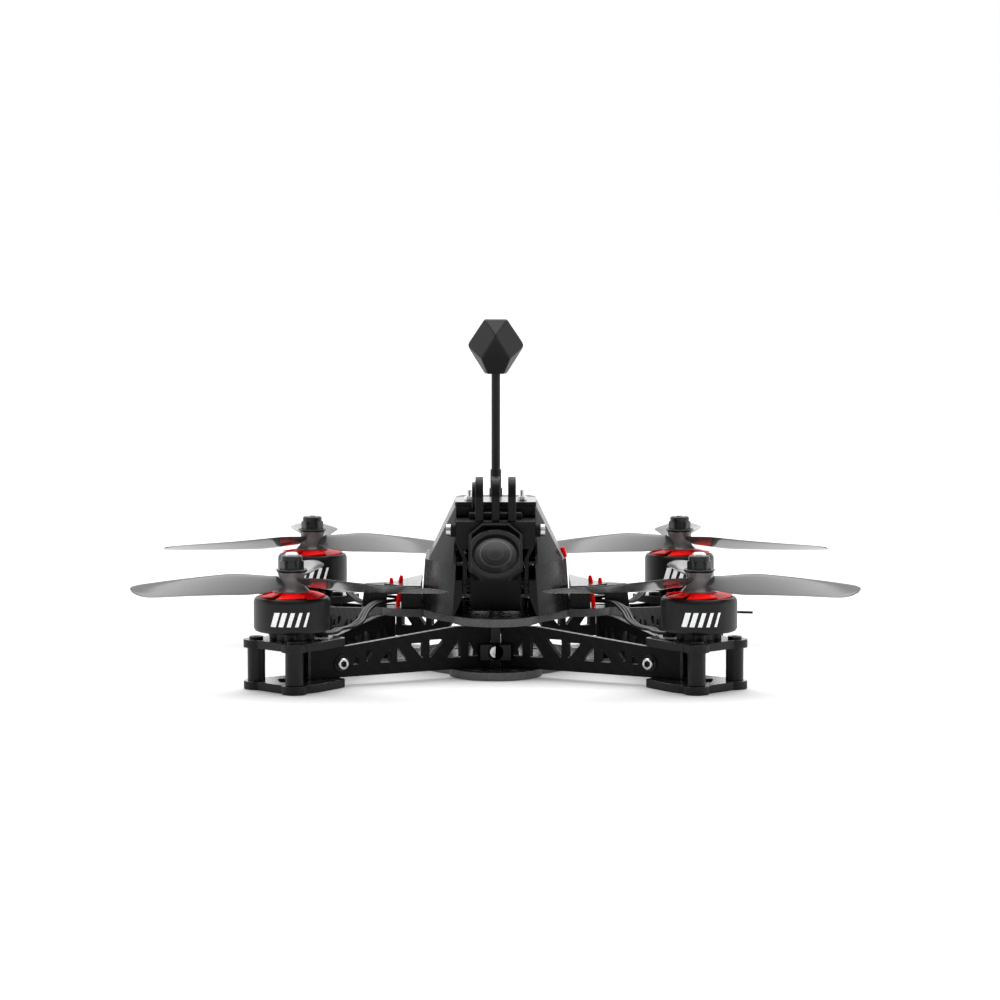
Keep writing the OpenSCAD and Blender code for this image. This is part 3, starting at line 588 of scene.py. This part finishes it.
def box(bm, low, high, turn=0.0, about=(0.0, 0.0)):
    """A block between two corners, turned about an upright axis."""
    c, s = math.cos(turn), math.sin(turn)
    corners = []
    for x in (low[0], high[0]):
        for y in (low[1], high[1]):
            for z in (low[2], high[2]):
                at = (about[0] + x * c - y * s, about[1] + x * s + y * c, z)
                corners.append(bm.verts.new(Vector(at) * MM))
    for quad in BLOCK_FACES:
        bm.faces.new([corners[k] for k in quad])


def smooth_path(p, steps):
    """Catmull-Rom points through a route."""
    p = [2 * p[0] - p[1]] + p + [2 * p[-1] - p[-2]]
    path = []
    for i in range(1, len(p) - 2):
        for k in range(steps):
            t = k / steps
            a, b, c, d = p[i - 1 : i + 3]
            path.append(
                0.5
                * (
                    2 * b
                    + (c - a) * t
                    + (2 * a - 5 * b + 4 * c - d) * t * t
                    + (3 * b - a - 3 * c + d) * t**3
                )
            )
    path.append(p[-2])
    return path


def round_section(bm, at, radius, u, v, sides):
    """A ring of vertices round a point, in the plane of two directions."""
    return [
        bm.verts.new((at + radius * (math.cos(a) * u + math.sin(a) * v)) * MM)
        for a in turns(sides)
    ]


def tube(bm, path, radius, sides=12):
    """A closed round tube along a path, in millimetres."""
    rings = []
    for i, at in enumerate(path):
        ahead = (path[min(i + 1, len(path) - 1)] - path[max(i - 1, 0)]).normalized()
        u = ahead.cross(Vector((0, 0, 1))).normalized()
        v = u.cross(ahead)
        rings.append(round_section(bm, at, radius, u, v, sides))
    skin(bm, rings)


def ring_loop(bm, points, radius, sides=6):
    """A closed tube through a loop of points, in millimetres."""
    count = len(points)
    middle = sum(points, Vector()) / count
    axis = (points[0] - middle).cross(points[2] - middle).normalized()
    rings = []
    for i, at in enumerate(points):
        ahead = (points[(i + 1) % count] - points[i - 1]).normalized()
        out = ahead.cross(axis).normalized()
        rings.append(round_section(bm, at, radius, out, axis, sides))
    skin(bm, rings, loop=True)


# ---------------------------------------------------------------- propellers

PROP_R = 65.0
BLADES = 3
BLADE_ROOT = 5.0
# Chord at the root and at its widest, and the share that it loses by the tip
ROOT_CHORD = 9.0
BLADE_CHORD = 18.0
CHORD_LOSS = 0.22
# The higher, the squarer the tip
TIP_POWER = 30
# Degrees at the root, and how many fewer at the tip
ROOT_PITCH = 25
PITCH_LOSS = 12.5
BLADE_STATIONS = 44
# How far the stations are drawn towards the tip
STATION_SHIFT = 0.24
# Cross-section of a blade: (share of chord, share of thickness), leading edge first
SECTION = [
    (0.5, 0.0), (0.47, 0.13), (0.4, 0.26), (0.28, 0.38), (0.12, 0.44), (-0.08, 0.43),
    (-0.26, 0.33), (-0.4, 0.18), (-0.48, 0.06), (-0.5, 0.0), (-0.47, -0.06),
    (-0.36, -0.14), (-0.18, -0.2), (0.05, -0.24), (0.24, -0.24), (0.4, -0.18),
    (0.47, -0.1),
]


def blade_chord(t):
    """Chord at a share of the blade's length, widest from three tenths on."""
    grown = math.sin(math.radians(min(90.0, 300.0 * t))) ** 1.2
    width = (ROOT_CHORD + (BLADE_CHORD - ROOT_CHORD) * grown) * (1 - CHORD_LOSS * t)
    return max(1.5, width * math.sqrt(max(0.0, 1 - t**TIP_POWER)))


def blade_ring(t):
    """Points of the cross-section at a share of the blade's length, X outward."""
    r = BLADE_ROOT + t * (PROP_R - BLADE_ROOT)
    chord = blade_chord(t)
    pitch = math.radians(ROOT_PITCH - PITCH_LOSS * t)
    sweep = 3.2 * math.sin(math.pi * t) - 2.2 * t * t
    thick = 1.5 - 0.9 * t + 1.6 * math.exp(-t / 0.05)
    ring = []
    for across, up in SECTION:
        u, v = across * chord, up * thick
        ring.append(
            (
                r,
                sweep + u * math.cos(pitch) - v * math.sin(pitch),
                u * math.sin(pitch) + v * math.cos(pitch),
            )
        )
    return ring


def blade_mesh(bm, place):
    """One twisted blade, its sections closer together near the tip."""
    rings = []
    for i in range(BLADE_STATIONS):
        s = i / (BLADE_STATIONS - 1)
        t = min(s + STATION_SHIFT * math.sin(math.pi * s) * s, 1.0)
        rings.append([bm.verts.new(place @ Vector(p) * MM) for p in blade_ring(t)])
    skin(bm, rings)


def corner_centre(sx, sy):
    return Vector((sx * MOTOR_AT, sy * MOTOR_AT, 0))


def corner_matrix(sx, sy):
    """From a corner's own frame, X and Y inward, to the object's frame."""
    return Matrix.Translation((sx * MOTOR_AT, sy * MOTOR_AT, 0)) @ Matrix.Diagonal(
        (-1 if sx > 0 else 1, -1 if sy > 0 else 1, 1, 1)
    )


def hub_mesh(bm, centre):
    """Hub with a collar at the top and foot, open underneath round a core."""
    top, foot = HUB_Z + HUB_H, HUB_Z
    lathe(
        bm,
        [
            (3.2, foot + 0.15), (3.2, top - 1.0), (4.1, top - 1.0), (4.1, foot + 2.4),
            (5.4, foot + 0.6), (5.6, foot), (6.3, foot), (HUB_R, foot + 0.2),
            (HUB_R, foot + 0.5), (6.0, foot + 0.95), (5.4, foot + 1.5),
            (5.0, foot + 2.3), (4.8, foot + 3.3), (4.75, foot + 5.2), (4.9, top - 0.9),
            (5.25, top - 0.35), (5.3, top), (3.2, top),
        ],
        centre,
    )


def hub_core(name, centre):
    """Splined tube round the shaft, seen through the smoked hub."""
    bm = bmesh.new()
    bore, middle, splines = SHAFT_R + 0.05, 3.0, 12
    crest, valley = 0.16, -0.12
    low, high = HUB_Z + 0.2, HUB_Z + HUB_H - 0.2
    rings = []
    for r, z, ribs in ((bore, low, 0), (middle, low, 1), (middle, high, 1), (bore, high, 0)):
        ring = []
        for k, a in enumerate(turns(8 * splines)):
            out = r + ribs * (crest if k % 8 < 4 else valley)
            at = (centre[0] + out * math.cos(a), centre[1] + out * math.sin(a), z)
            ring.append(bm.verts.new(Vector(at) * MM))
        rings.append(ring)
    skin(bm, rings, loop=True)
    piece = new_object("hub_core_" + name, bm, MATERIALS["hub_core"], 25.0)
    attach(piece, "rotor_" + name, "smoked_blade", "propeller_" + name)


def propeller(name, sx, sy):
    """Three blades, the first straight back, on a hub with a splined core."""
    centre = corner_centre(sx, sy)
    first_turn = 90.0 if sy < 0 else -90.0
    bm = bmesh.new()
    for k in range(BLADES):
        turn = Matrix.Rotation(math.radians(first_turn + 360 / BLADES * k), 4, "Z")
        place = (
            corner_matrix(sx, sy)
            @ Matrix.Translation((0, 0, HUB_Z))
            @ turn
            @ Matrix.Translation((0, 0, HUB_H / 2))
            @ Matrix.Diagonal((1, -1, 1, 1))
        )
        blade_mesh(bm, place)
    piece = new_object("blades_" + name, bm, MATERIALS["smoked_blade"], 50.0)
    attach(piece, "rotor_" + name, "smoked_blade", "propeller_" + name)
    bm = bmesh.new()
    hub_mesh(bm, centre)
    hub_core(name, centre)
    hub = new_object("hub_" + name, bm, MATERIALS["smoked_hub"], 40.0)
    attach(hub, "rotor_" + name, "smoked_blade", "propeller_" + name)


# -------------------------------------------------------------------- motors

MAGNETS = 14
TEETH = 12
COIL_TURNS = 5
STRIPES = 5
# Foot and top of the stripes, and how far each leans to the right
STRIPE_LOW, STRIPE_HIGH, STRIPE_LEAN = 24.6, 29.8, 1.6
# Left edge and width of the first stripe, and the change from each to the next
STRIPE_START, STRIPE_STEP = -7.4, 3.1
STRIPE_WIDTH, STRIPE_NARROWING = 2.1, 0.28


def stripe_mark(name, sx, sy):
    """Slanted white bars printed on the front of a bell, each narrower."""
    bm = bmesh.new()
    centre = corner_centre(sx, sy)
    steps = 4
    row = steps + 1
    for k in range(STRIPES):
        start = STRIPE_START + STRIPE_STEP * k
        width = STRIPE_WIDTH - STRIPE_NARROWING * k
        grid = []
        for r in (BELL_R - 0.02, BELL_R + 0.05):
            for z, shift in ((STRIPE_LOW, 0.0), (STRIPE_HIGH, STRIPE_LEAN)):
                for j in range(row):
                    a = (start + shift + width * j / steps) / BELL_R
                    at = centre + Vector((r * math.sin(a), -r * math.cos(a), z))
                    grid.append(bm.verts.new(at * MM))
        for j in range(steps):
            a, b, c, d = j, j + row, j + 2 * row, j + 3 * row
            for p, q in ((a, b), (c, d), (a, c), (b, d)):
                bm.faces.new((grid[p], grid[p + 1], grid[q + 1], grid[q]))
        for j in (0, steps):
            bm.faces.new((grid[j], grid[j + row], grid[j + 3 * row], grid[j + 2 * row]))
    piece = new_object("stripes_" + name, bm, MATERIALS["white_print"], 30.0)
    attach(piece, "rotor_" + name, "motor_metal")


def magnet_ring(name, sx, sy):
    """Magnets on the inner wall of a bell."""
    bm = bmesh.new()
    low, high = (11.22, -1.9, BELL_Z + 0.5), (11.8, 1.9, BELL_Z + 10.5)
    for k in range(MAGNETS):
        box(bm, low, high, 2 * math.pi * (k + 0.5) / MAGNETS, corner_centre(sx, sy))
    piece = new_object("magnets_" + name, bm, MATERIALS["magnet"], 30.0)
    soften(piece, 0.12)
    attach(piece, "rotor_" + name, "bright_steel")


NUT_CORNER = 4.62


def hex_nut(name, sx, sy):
    """Flanged lock nut: a dished foot, six flats with turned corners, a collar."""
    centre = corner_centre(sx, sy)
    bore = SHAFT_R + 0.02
    bm = bmesh.new()
    lathe(
        bm,
        [
            (bore, NUT_Z + 0.02), (5.35, NUT_Z + 0.02), (5.8, NUT_Z + 0.65),
            (5.8, NUT_Z + 0.95), (5.6, NUT_Z + 1.1), (5.0, NUT_Z + 0.8), (bore, NUT_Z + 0.8),
        ],
        centre,
    )
    # Each ring's corners are cut back to a radius, and further at the top
    high = NUT_Z + 4.2
    rings = []
    for z, cut in ((NUT_Z + 0.7, 4.5), (high - 0.4, 4.5), (high, 4.2)):
        ring = []
        for a in turns(72):
            r = min(hex_reach(NUT_CORNER, a), cut)
            at = centre + Vector((r * math.sin(a), r * math.cos(a), z))
            ring.append(bm.verts.new(at * MM))
        rings.append(ring)
    skin(bm, rings)
    lathe(
        bm,
        [
            (bore, high - 0.1), (3.9, high - 0.1), (3.9, high + 1.45), (3.6, high + 1.8),
            (3.2, high + 1.95), (2.8, high + 1.8), (bore, high + 1.7),
        ],
        centre,
    )
    piece = new_object("nut_" + name, bm, MATERIALS["dark_nut"], 25.0)
    attach(piece, "rotor_" + name, "dark_nut", "prop_nut_" + name)


def coil_windings():
    """Enamelled turns round the twelve teeth of each stator."""
    bm = bmesh.new()
    low, high, wire_r = 22.4, 29.6, 0.3
    for sx, sy in CORNERS.values():
        centre = corner_centre(sx, sy)
        for a in turns(TEETH):
            turn = Matrix.Rotation(a, 4, "Z")
            for k in range(COIL_TURNS):
                x = 6.7 + 0.62 * k
                half_w = 1.0 + 0.16 * k
                loop = [
                    (x, -half_w, low + 0.9), (x, -half_w, high - 0.9), (x, -0.5, high - 0.15),
                    (x, 0.5, high - 0.15), (x, half_w, high - 0.9), (x, half_w, low + 0.9),
                    (x, 0.5, low + 0.15), (x, -0.5, low + 0.15),
                ]
                ring_loop(bm, [centre + turn @ Vector(p) for p in loop], wire_r)
    piece = new_object("coils", bm, MATERIALS["copper_wire"], 60.0)
    attach(piece, "airframe", "copper_wire", "stator_windings")


# --------------------------------------------------------------------- bolts

# Distance of the arm bolts from the motor's axis, their height, the plates' thickness
BOLT_S, BOLT_Z = 19.6, 8.3
ARM_T = 2.4
WASHER_T = 0.5


def cap_head(bm, place, r, h, socket):
    """Round screw head with turned edges and a deep six-sided socket."""
    sides = 48
    rings = []
    for kind, size, z in (
        ("round", r, 0.0), ("round", r, h - 0.3), ("round", r - 0.25, h),
        ("round", socket + 0.25, h), ("hex", socket, h - 0.15), ("hex", socket, h - 1.1),
    ):
        ring = []
        for a in turns(sides):
            reach = size if kind == "round" else hex_reach(size, a)
            at = place @ Vector((reach * math.cos(a), reach * math.sin(a), z))
            ring.append(bm.verts.new(at * MM))
        rings.append(ring)
    faces = skin(bm, rings)
    # The last band and the last cap are the socket's wall and floor
    for face in faces[-sides - 2 : -2] + faces[-1:]:
        face.material_index = 1


def washer(bm, place, inner, outer, low, high):
    """Flat ring with a turned outer edge, added to a bmesh."""
    made = bmesh.new()
    lathe(
        made,
        [
            (inner, low), (outer - 0.1, low), (outer, low + 0.1),
            (outer, high - 0.1), (outer - 0.1, high), (inner, high),
        ],
        (0, 0),
        48,
    )
    # The place is in millimetres and the mesh in metres
    grow, shrink = Matrix.Scale(1 / MM, 4), Matrix.Scale(MM, 4)
    bmesh.ops.transform(made, matrix=shrink @ place @ grow, verts=made.verts)
    mesh = bpy.data.meshes.new("washer_part")
    made.to_mesh(mesh)
    made.free()
    bm.from_mesh(mesh)
    bpy.data.meshes.remove(mesh)


def arm_places():
    """Where the bolts cross the arm plates, Z along the bolt and outward."""
    # Each arm plate runs from its motor to a vertex, at these distances in Y and X
    front, side = math.atan2(40, 75), math.atan2(75, 35)
    for sx, sy in CORNERS.values():
        for angle, way in ((front, 1), (side, -1)):
            yield (
                corner_matrix(sx, sy)
                @ Matrix.Rotation(angle, 4, "Z")
                @ Matrix.Translation((BOLT_S, 0, BOLT_Z))
                @ Matrix.Rotation(way * math.pi / 2, 4, "X")
            )


def arm_bolts():
    """Bright heads with dark sockets, on dark washers, and dark nuts inside."""
    bright, dark = bmesh.new(), bmesh.new()
    face = ARM_T / 2
    for place in arm_places():
        out = place @ Matrix.Translation((0, 0, face + WASHER_T))
        cap_head(bright, out, 2.1, 1.6, 1.3)
        washer(dark, place, 1.0, 3.1, face, face + WASHER_T)
        inside = place @ Matrix.Rotation(math.pi, 4, "X") @ Matrix.Translation((0, 0, face))
        cap_head(dark, inside, 2.6, 2.1, 1.5)
    steel, black = MATERIALS["bright_steel"], MATERIALS["black_steel"]
    heads = new_object("arm_bolt_heads", bright, [steel, black], 30.0)
    attach(heads, "airframe", "bright_steel", "arm_cross_bolts")
    rings = new_object("arm_bolt_washers", dark, [black, black], 30.0)
    attach(rings, "airframe", "black_steel", "arm_cross_bolts")


# --------------------------------------------------------------------- wires

# Route of one corner's motor wires, as in the CAD, in millimetres
WIRE_ROUTE = [
    (-69.9, -69.9, 20), (-65, -70.6, 20), (-60, -66.8, 20), (-58.6, -56, 19.6),
    (-56, -46, 19), (-53.5, -38, 18.9), (-51.2, -30, 20), (-50, -24, 22),
    (-48, -18, 23.8), (-45.5, -13, 24.6), (-42, -8.5, 24.6), (-39, -5.5, 24.6),
    (-35, -4, 24.6), (-31, -3.6, 24.6), (-25, -3.4, 24.6), (-18.4, -3.4, 24.6),
]
SLEEVE_R = 0.6
SLEEVE_PITCH = 1.12


def motor_wires():
    """Three sleeved wires side by side from each motor."""
    bm = bmesh.new()
    for sx, sy in CORNERS.values():
        route = [Vector((-sx * x, -sy * y, z)) for x, y, z in WIRE_ROUTE]
        path = smooth_path(route, 5)
        for k in (-1, 0, 1):
            shifted = []
            for i, at in enumerate(path):
                ahead = path[min(i + 1, len(path) - 1)] - path[max(i - 1, 0)]
                side = ahead.cross(Vector((0, 0, 1))).normalized()
                # The wires rise and fall a little, each in its own time
                lift = 0.12 * math.sin(0.35 * i + 2 * k)
                shifted.append(at + side * k * SLEEVE_PITCH + Vector((0, 0, lift)))
            tube(bm, shifted, SLEEVE_R)
    piece = new_object("wire_sleeves", bm, MATERIALS["wire_sleeve"], 60.0)
    attach(piece, "airframe", "wire_sleeve", "motor_wires")


# -------------------------------------------------------------- antenna head

ANTENNA_Y = 30.0


def antenna_head():
    """Many-sided antenna cap: kites at the front and back, a flat top."""
    points = []
    for back in (-1, 1):
        for side in (-1, 1):
            points += [
                (4.45 * side, 2.9 * back, 131.9),
                (5.7 * side, 7.0 * back, 116.7),
                (3.1 * side, 4.2 * back, 110.45),
                (4.3 * side, 1.2 * back, 110.45),
            ]
        points.append((0.0, 10.2 * back, 125.8))
    points += [(-11.4, 0.0, 121.6), (11.4, 0.0, 121.6)]
    bm = bmesh.new()
    for x, y, z in points:
        bm.verts.new(Vector((x, ANTENNA_Y + y, z)) * MM)
    hull = bmesh.ops.convex_hull(bm, input=bm.verts)
    spare = [v for v in hull["geom_interior"] if isinstance(v, bmesh.types.BMVert)]
    bmesh.ops.delete(bm, geom=spare, context="VERTS")
    merge_flat_faces(bm, 6)
    piece = new_object("antenna_cap", bm, MATERIALS["antenna_plastic"], 20.0)
    soften(piece, 0.5, 3, 10.0)
    attach(piece, "airframe", "antenna_plastic", "antenna_head")


# -------------------------------------------------------------------- camera

# The camera's tilt at rest, the middle of its lens rim, the pivot's distance behind
CAMERA_TILT = math.radians(40)
CAMERA_FRONT = Vector((0, -49, 46.1))
PIVOT_BACK = 19.0
CAMERA_AXIS = Vector((0, -math.cos(CAMERA_TILT), math.sin(CAMERA_TILT)))
CAMERA_PIVOT = CAMERA_FRONT - PIVOT_BACK * CAMERA_AXIS


def in_camera(bm):
    """Moves a bmesh built round the optical axis, pivot at the origin, into place."""
    turn = Matrix.Translation(CAMERA_PIVOT * MM) @ Matrix.Rotation(
        math.pi / 2 - CAMERA_TILT, 4, "X"
    )
    bmesh.ops.transform(bm, matrix=turn, verts=bm.verts)


def lens_dome():
    """Domed front element, with one bright and four faint rings on it."""
    reach, rise, seat = 8.7, 2.1, PIVOT_BACK + 0.95
    steps, sides = 24, 96
    radius = (reach**2 + rise**2) / (2 * rise)

    def height(r):
        return seat + rise - radius + math.sqrt(radius**2 - r**2)

    bm = bmesh.new()
    profile = [(reach - 0.15, seat - 0.03), (reach, seat + 0.05)]
    for k in range(1, steps + 1):
        r = max(0.01, reach * math.cos(0.5 * math.pi * k / steps))
        profile.append((r, height(r)))
    lathe(bm, profile, (0, 0), sides, loop=False)
    in_camera(bm)
    piece = new_object("lens_dome", bm, MATERIALS["lens_glass"], 40.0)
    attach(piece, "camera", "lens_glass", "camera_glass")

    # Radius and half width of each ring
    bright = ((5.75, 0.1),)
    faint = ((3.1, 0.1), (2.5, 0.07), (1.7, 0.06), (6.15, 0.06))
    for name, rings, material in (
        ("lens_bright_ring", bright, "ring_silver"),
        ("lens_faint_rings", faint, "ring_grey"),
    ):
        bm = bmesh.new()
        for r, half in rings:
            top = height(r) + 0.02
            inner, outer = r - half, r + half
            profile = [(inner, top - 0.1), (inner, top), (outer, top - 0.02), (outer, top - 0.12)]
            lathe(bm, profile, (0, 0), sides)
        in_camera(bm)
        attach(new_object(name, bm, MATERIALS[material], 30.0), "camera", "camera_plastic")


def cage_grooves():
    """Raised lips that leave a thin groove down each side of the cage's brow."""
    bm = bmesh.new()
    front = -35.4
    # Inner and outer X, low and high Z of the upright lip and of its foot
    lips = ((11.2, 11.5, 52.2, 57.2), (11.2, 12.4, 51.9, 52.2))
    for side in (-1, 1):
        for x0, x1, z0, z1 in lips:
            low_x, high_x = sorted((side * x0, side * x1))
            box(bm, (low_x, front - 0.12, z0), (high_x, front + 0.3, z1))
    piece = new_object("cage_lips", bm, MATERIALS["moulded_black"], 30.0)
    attach(piece, "airframe", "moulded_black")


# --------------------------------------------------------------- electronics

# Top faces of the boards, and the size of each kind of small part on them
BOARD_TOPS = (28.6, 34.6, 40.9)
PART_SIZES = [(1.0, 0.5, 0.4), (1.6, 0.8, 0.5), (2.4, 2.4, 0.7), (3.2, 1.6, 0.9)]
PARTS_TRIED = 26
PART_GAP = 0.4
POST_AT = 15.25


def board_spot_free(x, y, z):
    """Whether a place on a board is clear of its posts, large chips and socket."""
    x_out = abs(x)
    posts = abs(x_out - POST_AT) < 4 and abs(abs(y) - POST_AT) < 4
    power_chips = z == BOARD_TOPS[0] and x_out < 14.5 and abs(y) < 13
    large_chip = x_out < 9.8 and abs(y) < 9
    socket = x_out < 6 and y > 10
    return not (posts or power_chips or large_chip or socket)


def board_parts():
    """Small chips and capacitors on the three boards."""
    rng = random.Random(7)
    bm = bmesh.new()
    for z in BOARD_TOPS:
        taken = []
        for _ in range(PARTS_TRIED):
            w, l, h = rng.choice(PART_SIZES)
            x, y = rng.uniform(-16, 16), rng.uniform(-16, 16)
            clear = all(
                abs(x - a) > (w + c) / 2 + PART_GAP or abs(y - b) > (l + d) / 2 + PART_GAP
                for a, b, c, d in taken
            )
            if clear and board_spot_free(x, y, z):
                taken.append((x, y, w, l))
                box(bm, (x - w / 2, y - l / 2, z), (x + w / 2, y + l / 2, z + h))
    piece = new_object("board_parts", bm, MATERIALS["chip"], 30.0)
    soften(piece, 0.08, 1)
    attach(piece, "airframe", "circuit_board")


# ---------------------------------------------------------------- assembling

# Rounding of the edges of each CAD node, in millimetres
EDGE = {
    "bottom_plate": 0.25, "mid_plate": 0.25, "motor_mount": 0.25, "arm_plates": 0.18,
    "mount_standoffs": 0.2, "mount_screws": 0.25, "vertex_blocks": 0.3,
    "vertex_bolts": 0.2, "motor_bases": 0.2, "motor_bearings": 0.12,
    "stator_cores": 0.08, "motor_bell": 0.22, "bell_cap": 0.1, "motor_shaft": 0.15,
    "pod_side": 0.35, "pod_top_plate": 0.2, "pod_screws": 0.15, "side_wing": 0.35,
    "side_decks": 0.15, "red_bolts": 0.15, "action_mount": 0.3, "camera_cage": 0.25,
    "esc_board": 0.08, "flight_controller": 0.08, "video_transmitter": 0.08,
    "stack_standoffs": 0.2, "receiver_antenna": 0.1, "antenna_connector": 0.15,
    "antenna_mast": 0.1, "camera_body": 0.35, "camera_lens": 0.25,
    "camera_pivot_screws": 0.15,
}
# Starts of the names of the nodes that pieces of their own stand for
OWN_PIECES = (
    "propeller", "prop_nut", "motor_wires", "stator_windings", "antenna_head",
    "arm_cross_bolts", "camera_glass",
)


def on_bush(at):
    """Whether a point of the screws beside the camera is on their inner half."""
    return abs(at.x) < 17.15 and at.z < 60


# A second finish of a node, and the rule for the faces that take it
PAINT = {"pod_screws": ("rubber", on_bush)}


def refine_all():
    """Refines every CAD node that has no piece of its own."""
    for node in sorted(frame["nodes"]):
        if node.startswith(OWN_PIECES):
            continue
        refined(node, by_start(EDGE, node))


def build():
    refine_all()
    for name, (sx, sy) in CORNERS.items():
        propeller(name, sx, sy)
        hex_nut(name, sx, sy)
        stripe_mark(name, sx, sy)
        magnet_ring(name, sx, sy)
    arm_bolts()
    coil_windings()
    motor_wires()
    antenna_head()
    lens_dome()
    cage_grooves()
    board_parts()


# -------------------------------------------------------------------- studio

LIT_POINT = Vector((0, 0, 0.05))


def area_light(name, at, width, height, power):
    """A panel that faces the object; a square one has equal width and height."""
    light = bpy.data.lights.new(name, "AREA")
    light.shape = "RECTANGLE" if height != width else "SQUARE"
    light.size = width
    light.size_y = height
    light.energy = power
    lamp = bpy.data.objects.new(name, light)
    lamp.location = at
    lamp.rotation_euler = (LIT_POINT - Vector(at)).to_track_quat("-Z", "Y").to_euler()
    SCENE.collection.objects.link(lamp)


def soft_sun():
    """A very wide overhead light, a little behind the object."""
    light = bpy.data.lights.new("overhead", "SUN")
    light.energy = 2.4
    light.angle = math.radians(70)
    lamp = bpy.data.objects.new("overhead", light)
    lamp.rotation_euler = (math.radians(-25), 0, 0)
    SCENE.collection.objects.link(lamp)


def studio_world():
    """Pale surroundings, bright behind the object and dim in front of it."""
    world = bpy.data.worlds.new("studio")
    SCENE.world = world
    world.use_nodes = True
    tree = world.node_tree
    tree.nodes.clear()
    out = tree.nodes.new("ShaderNodeOutputWorld")
    lit = tree.nodes.new("ShaderNodeBackground")
    seen = tree.nodes.new("ShaderNodeBackground")
    both = tree.nodes.new("ShaderNodeMixShader")
    path = tree.nodes.new("ShaderNodeLightPath")
    at = tree.nodes.new("ShaderNodeTexCoord")
    axes = tree.nodes.new("ShaderNodeSeparateXYZ")
    # Brightness by direction, from the front (-Y) to the back
    ramp = tree.nodes.new("ShaderNodeMapRange")
    for name, value in (("From Min", -0.9), ("From Max", 0.6), ("To Min", 0.05), ("To Max", 1.5)):
        ramp.inputs[name].default_value = value
    link = tree.links.new
    link(at.outputs["Generated"], axes.inputs[0])
    link(axes.outputs["Y"], ramp.inputs["Value"])
    link(ramp.outputs[0], lit.inputs["Strength"])
    seen.inputs["Color"].default_value = grey(1.0)
    link(path.outputs["Is Camera Ray"], both.inputs[0])
    link(lit.outputs[0], both.inputs[1])
    link(seen.outputs[0], both.inputs[2])
    link(both.outputs[0], out.inputs[0])


def floor():
    """A wide pale floor, just under the lowest point of the object."""
    bm = bmesh.new()
    bmesh.ops.create_grid(bm, x_segments=8, y_segments=8, size=12.0)
    paint = finish(
        "floor_paint", grey(0.93), grey(0.96), (0.9, 0.95), scale=3.0, grain=40.0,
        strength=0.02,
    )
    piece = new_object("floor", bm, paint)
    piece.location.z = -0.0001


# Place of the camera in metres, how far it looks down, and its lens
EYE = (0.00166, -1.425, 0.1938)
LOOK_DOWN = 5.241
LENS = 132.84
SENSOR = 36.0


def camera():
    data = bpy.data.cameras.new("view")
    data.sensor_width = SENSOR
    data.lens = LENS
    data.clip_end = 60.0
    eye = bpy.data.objects.new("view", data)
    eye.location = EYE
    eye.rotation_euler = (math.radians(90 - LOOK_DOWN), 0, 0)
    SCENE.collection.objects.link(eye)
    SCENE.camera = eye


def studio():
    SCENE.view_settings.view_transform = "Standard"
    studio_world()
    floor()
    camera()
    soft_sun()
    area_light("left_panel", (-1.2, 0.1, 0.5), 0.3, 1.2, 2.2)
    area_light("right_panel", (1.2, -0.1, 0.5), 0.3, 1.2, 3.0)
    area_light("front_panel", (0.5, -1.3, 0.95), 0.4, 0.4, 0.9)


build()
studio()
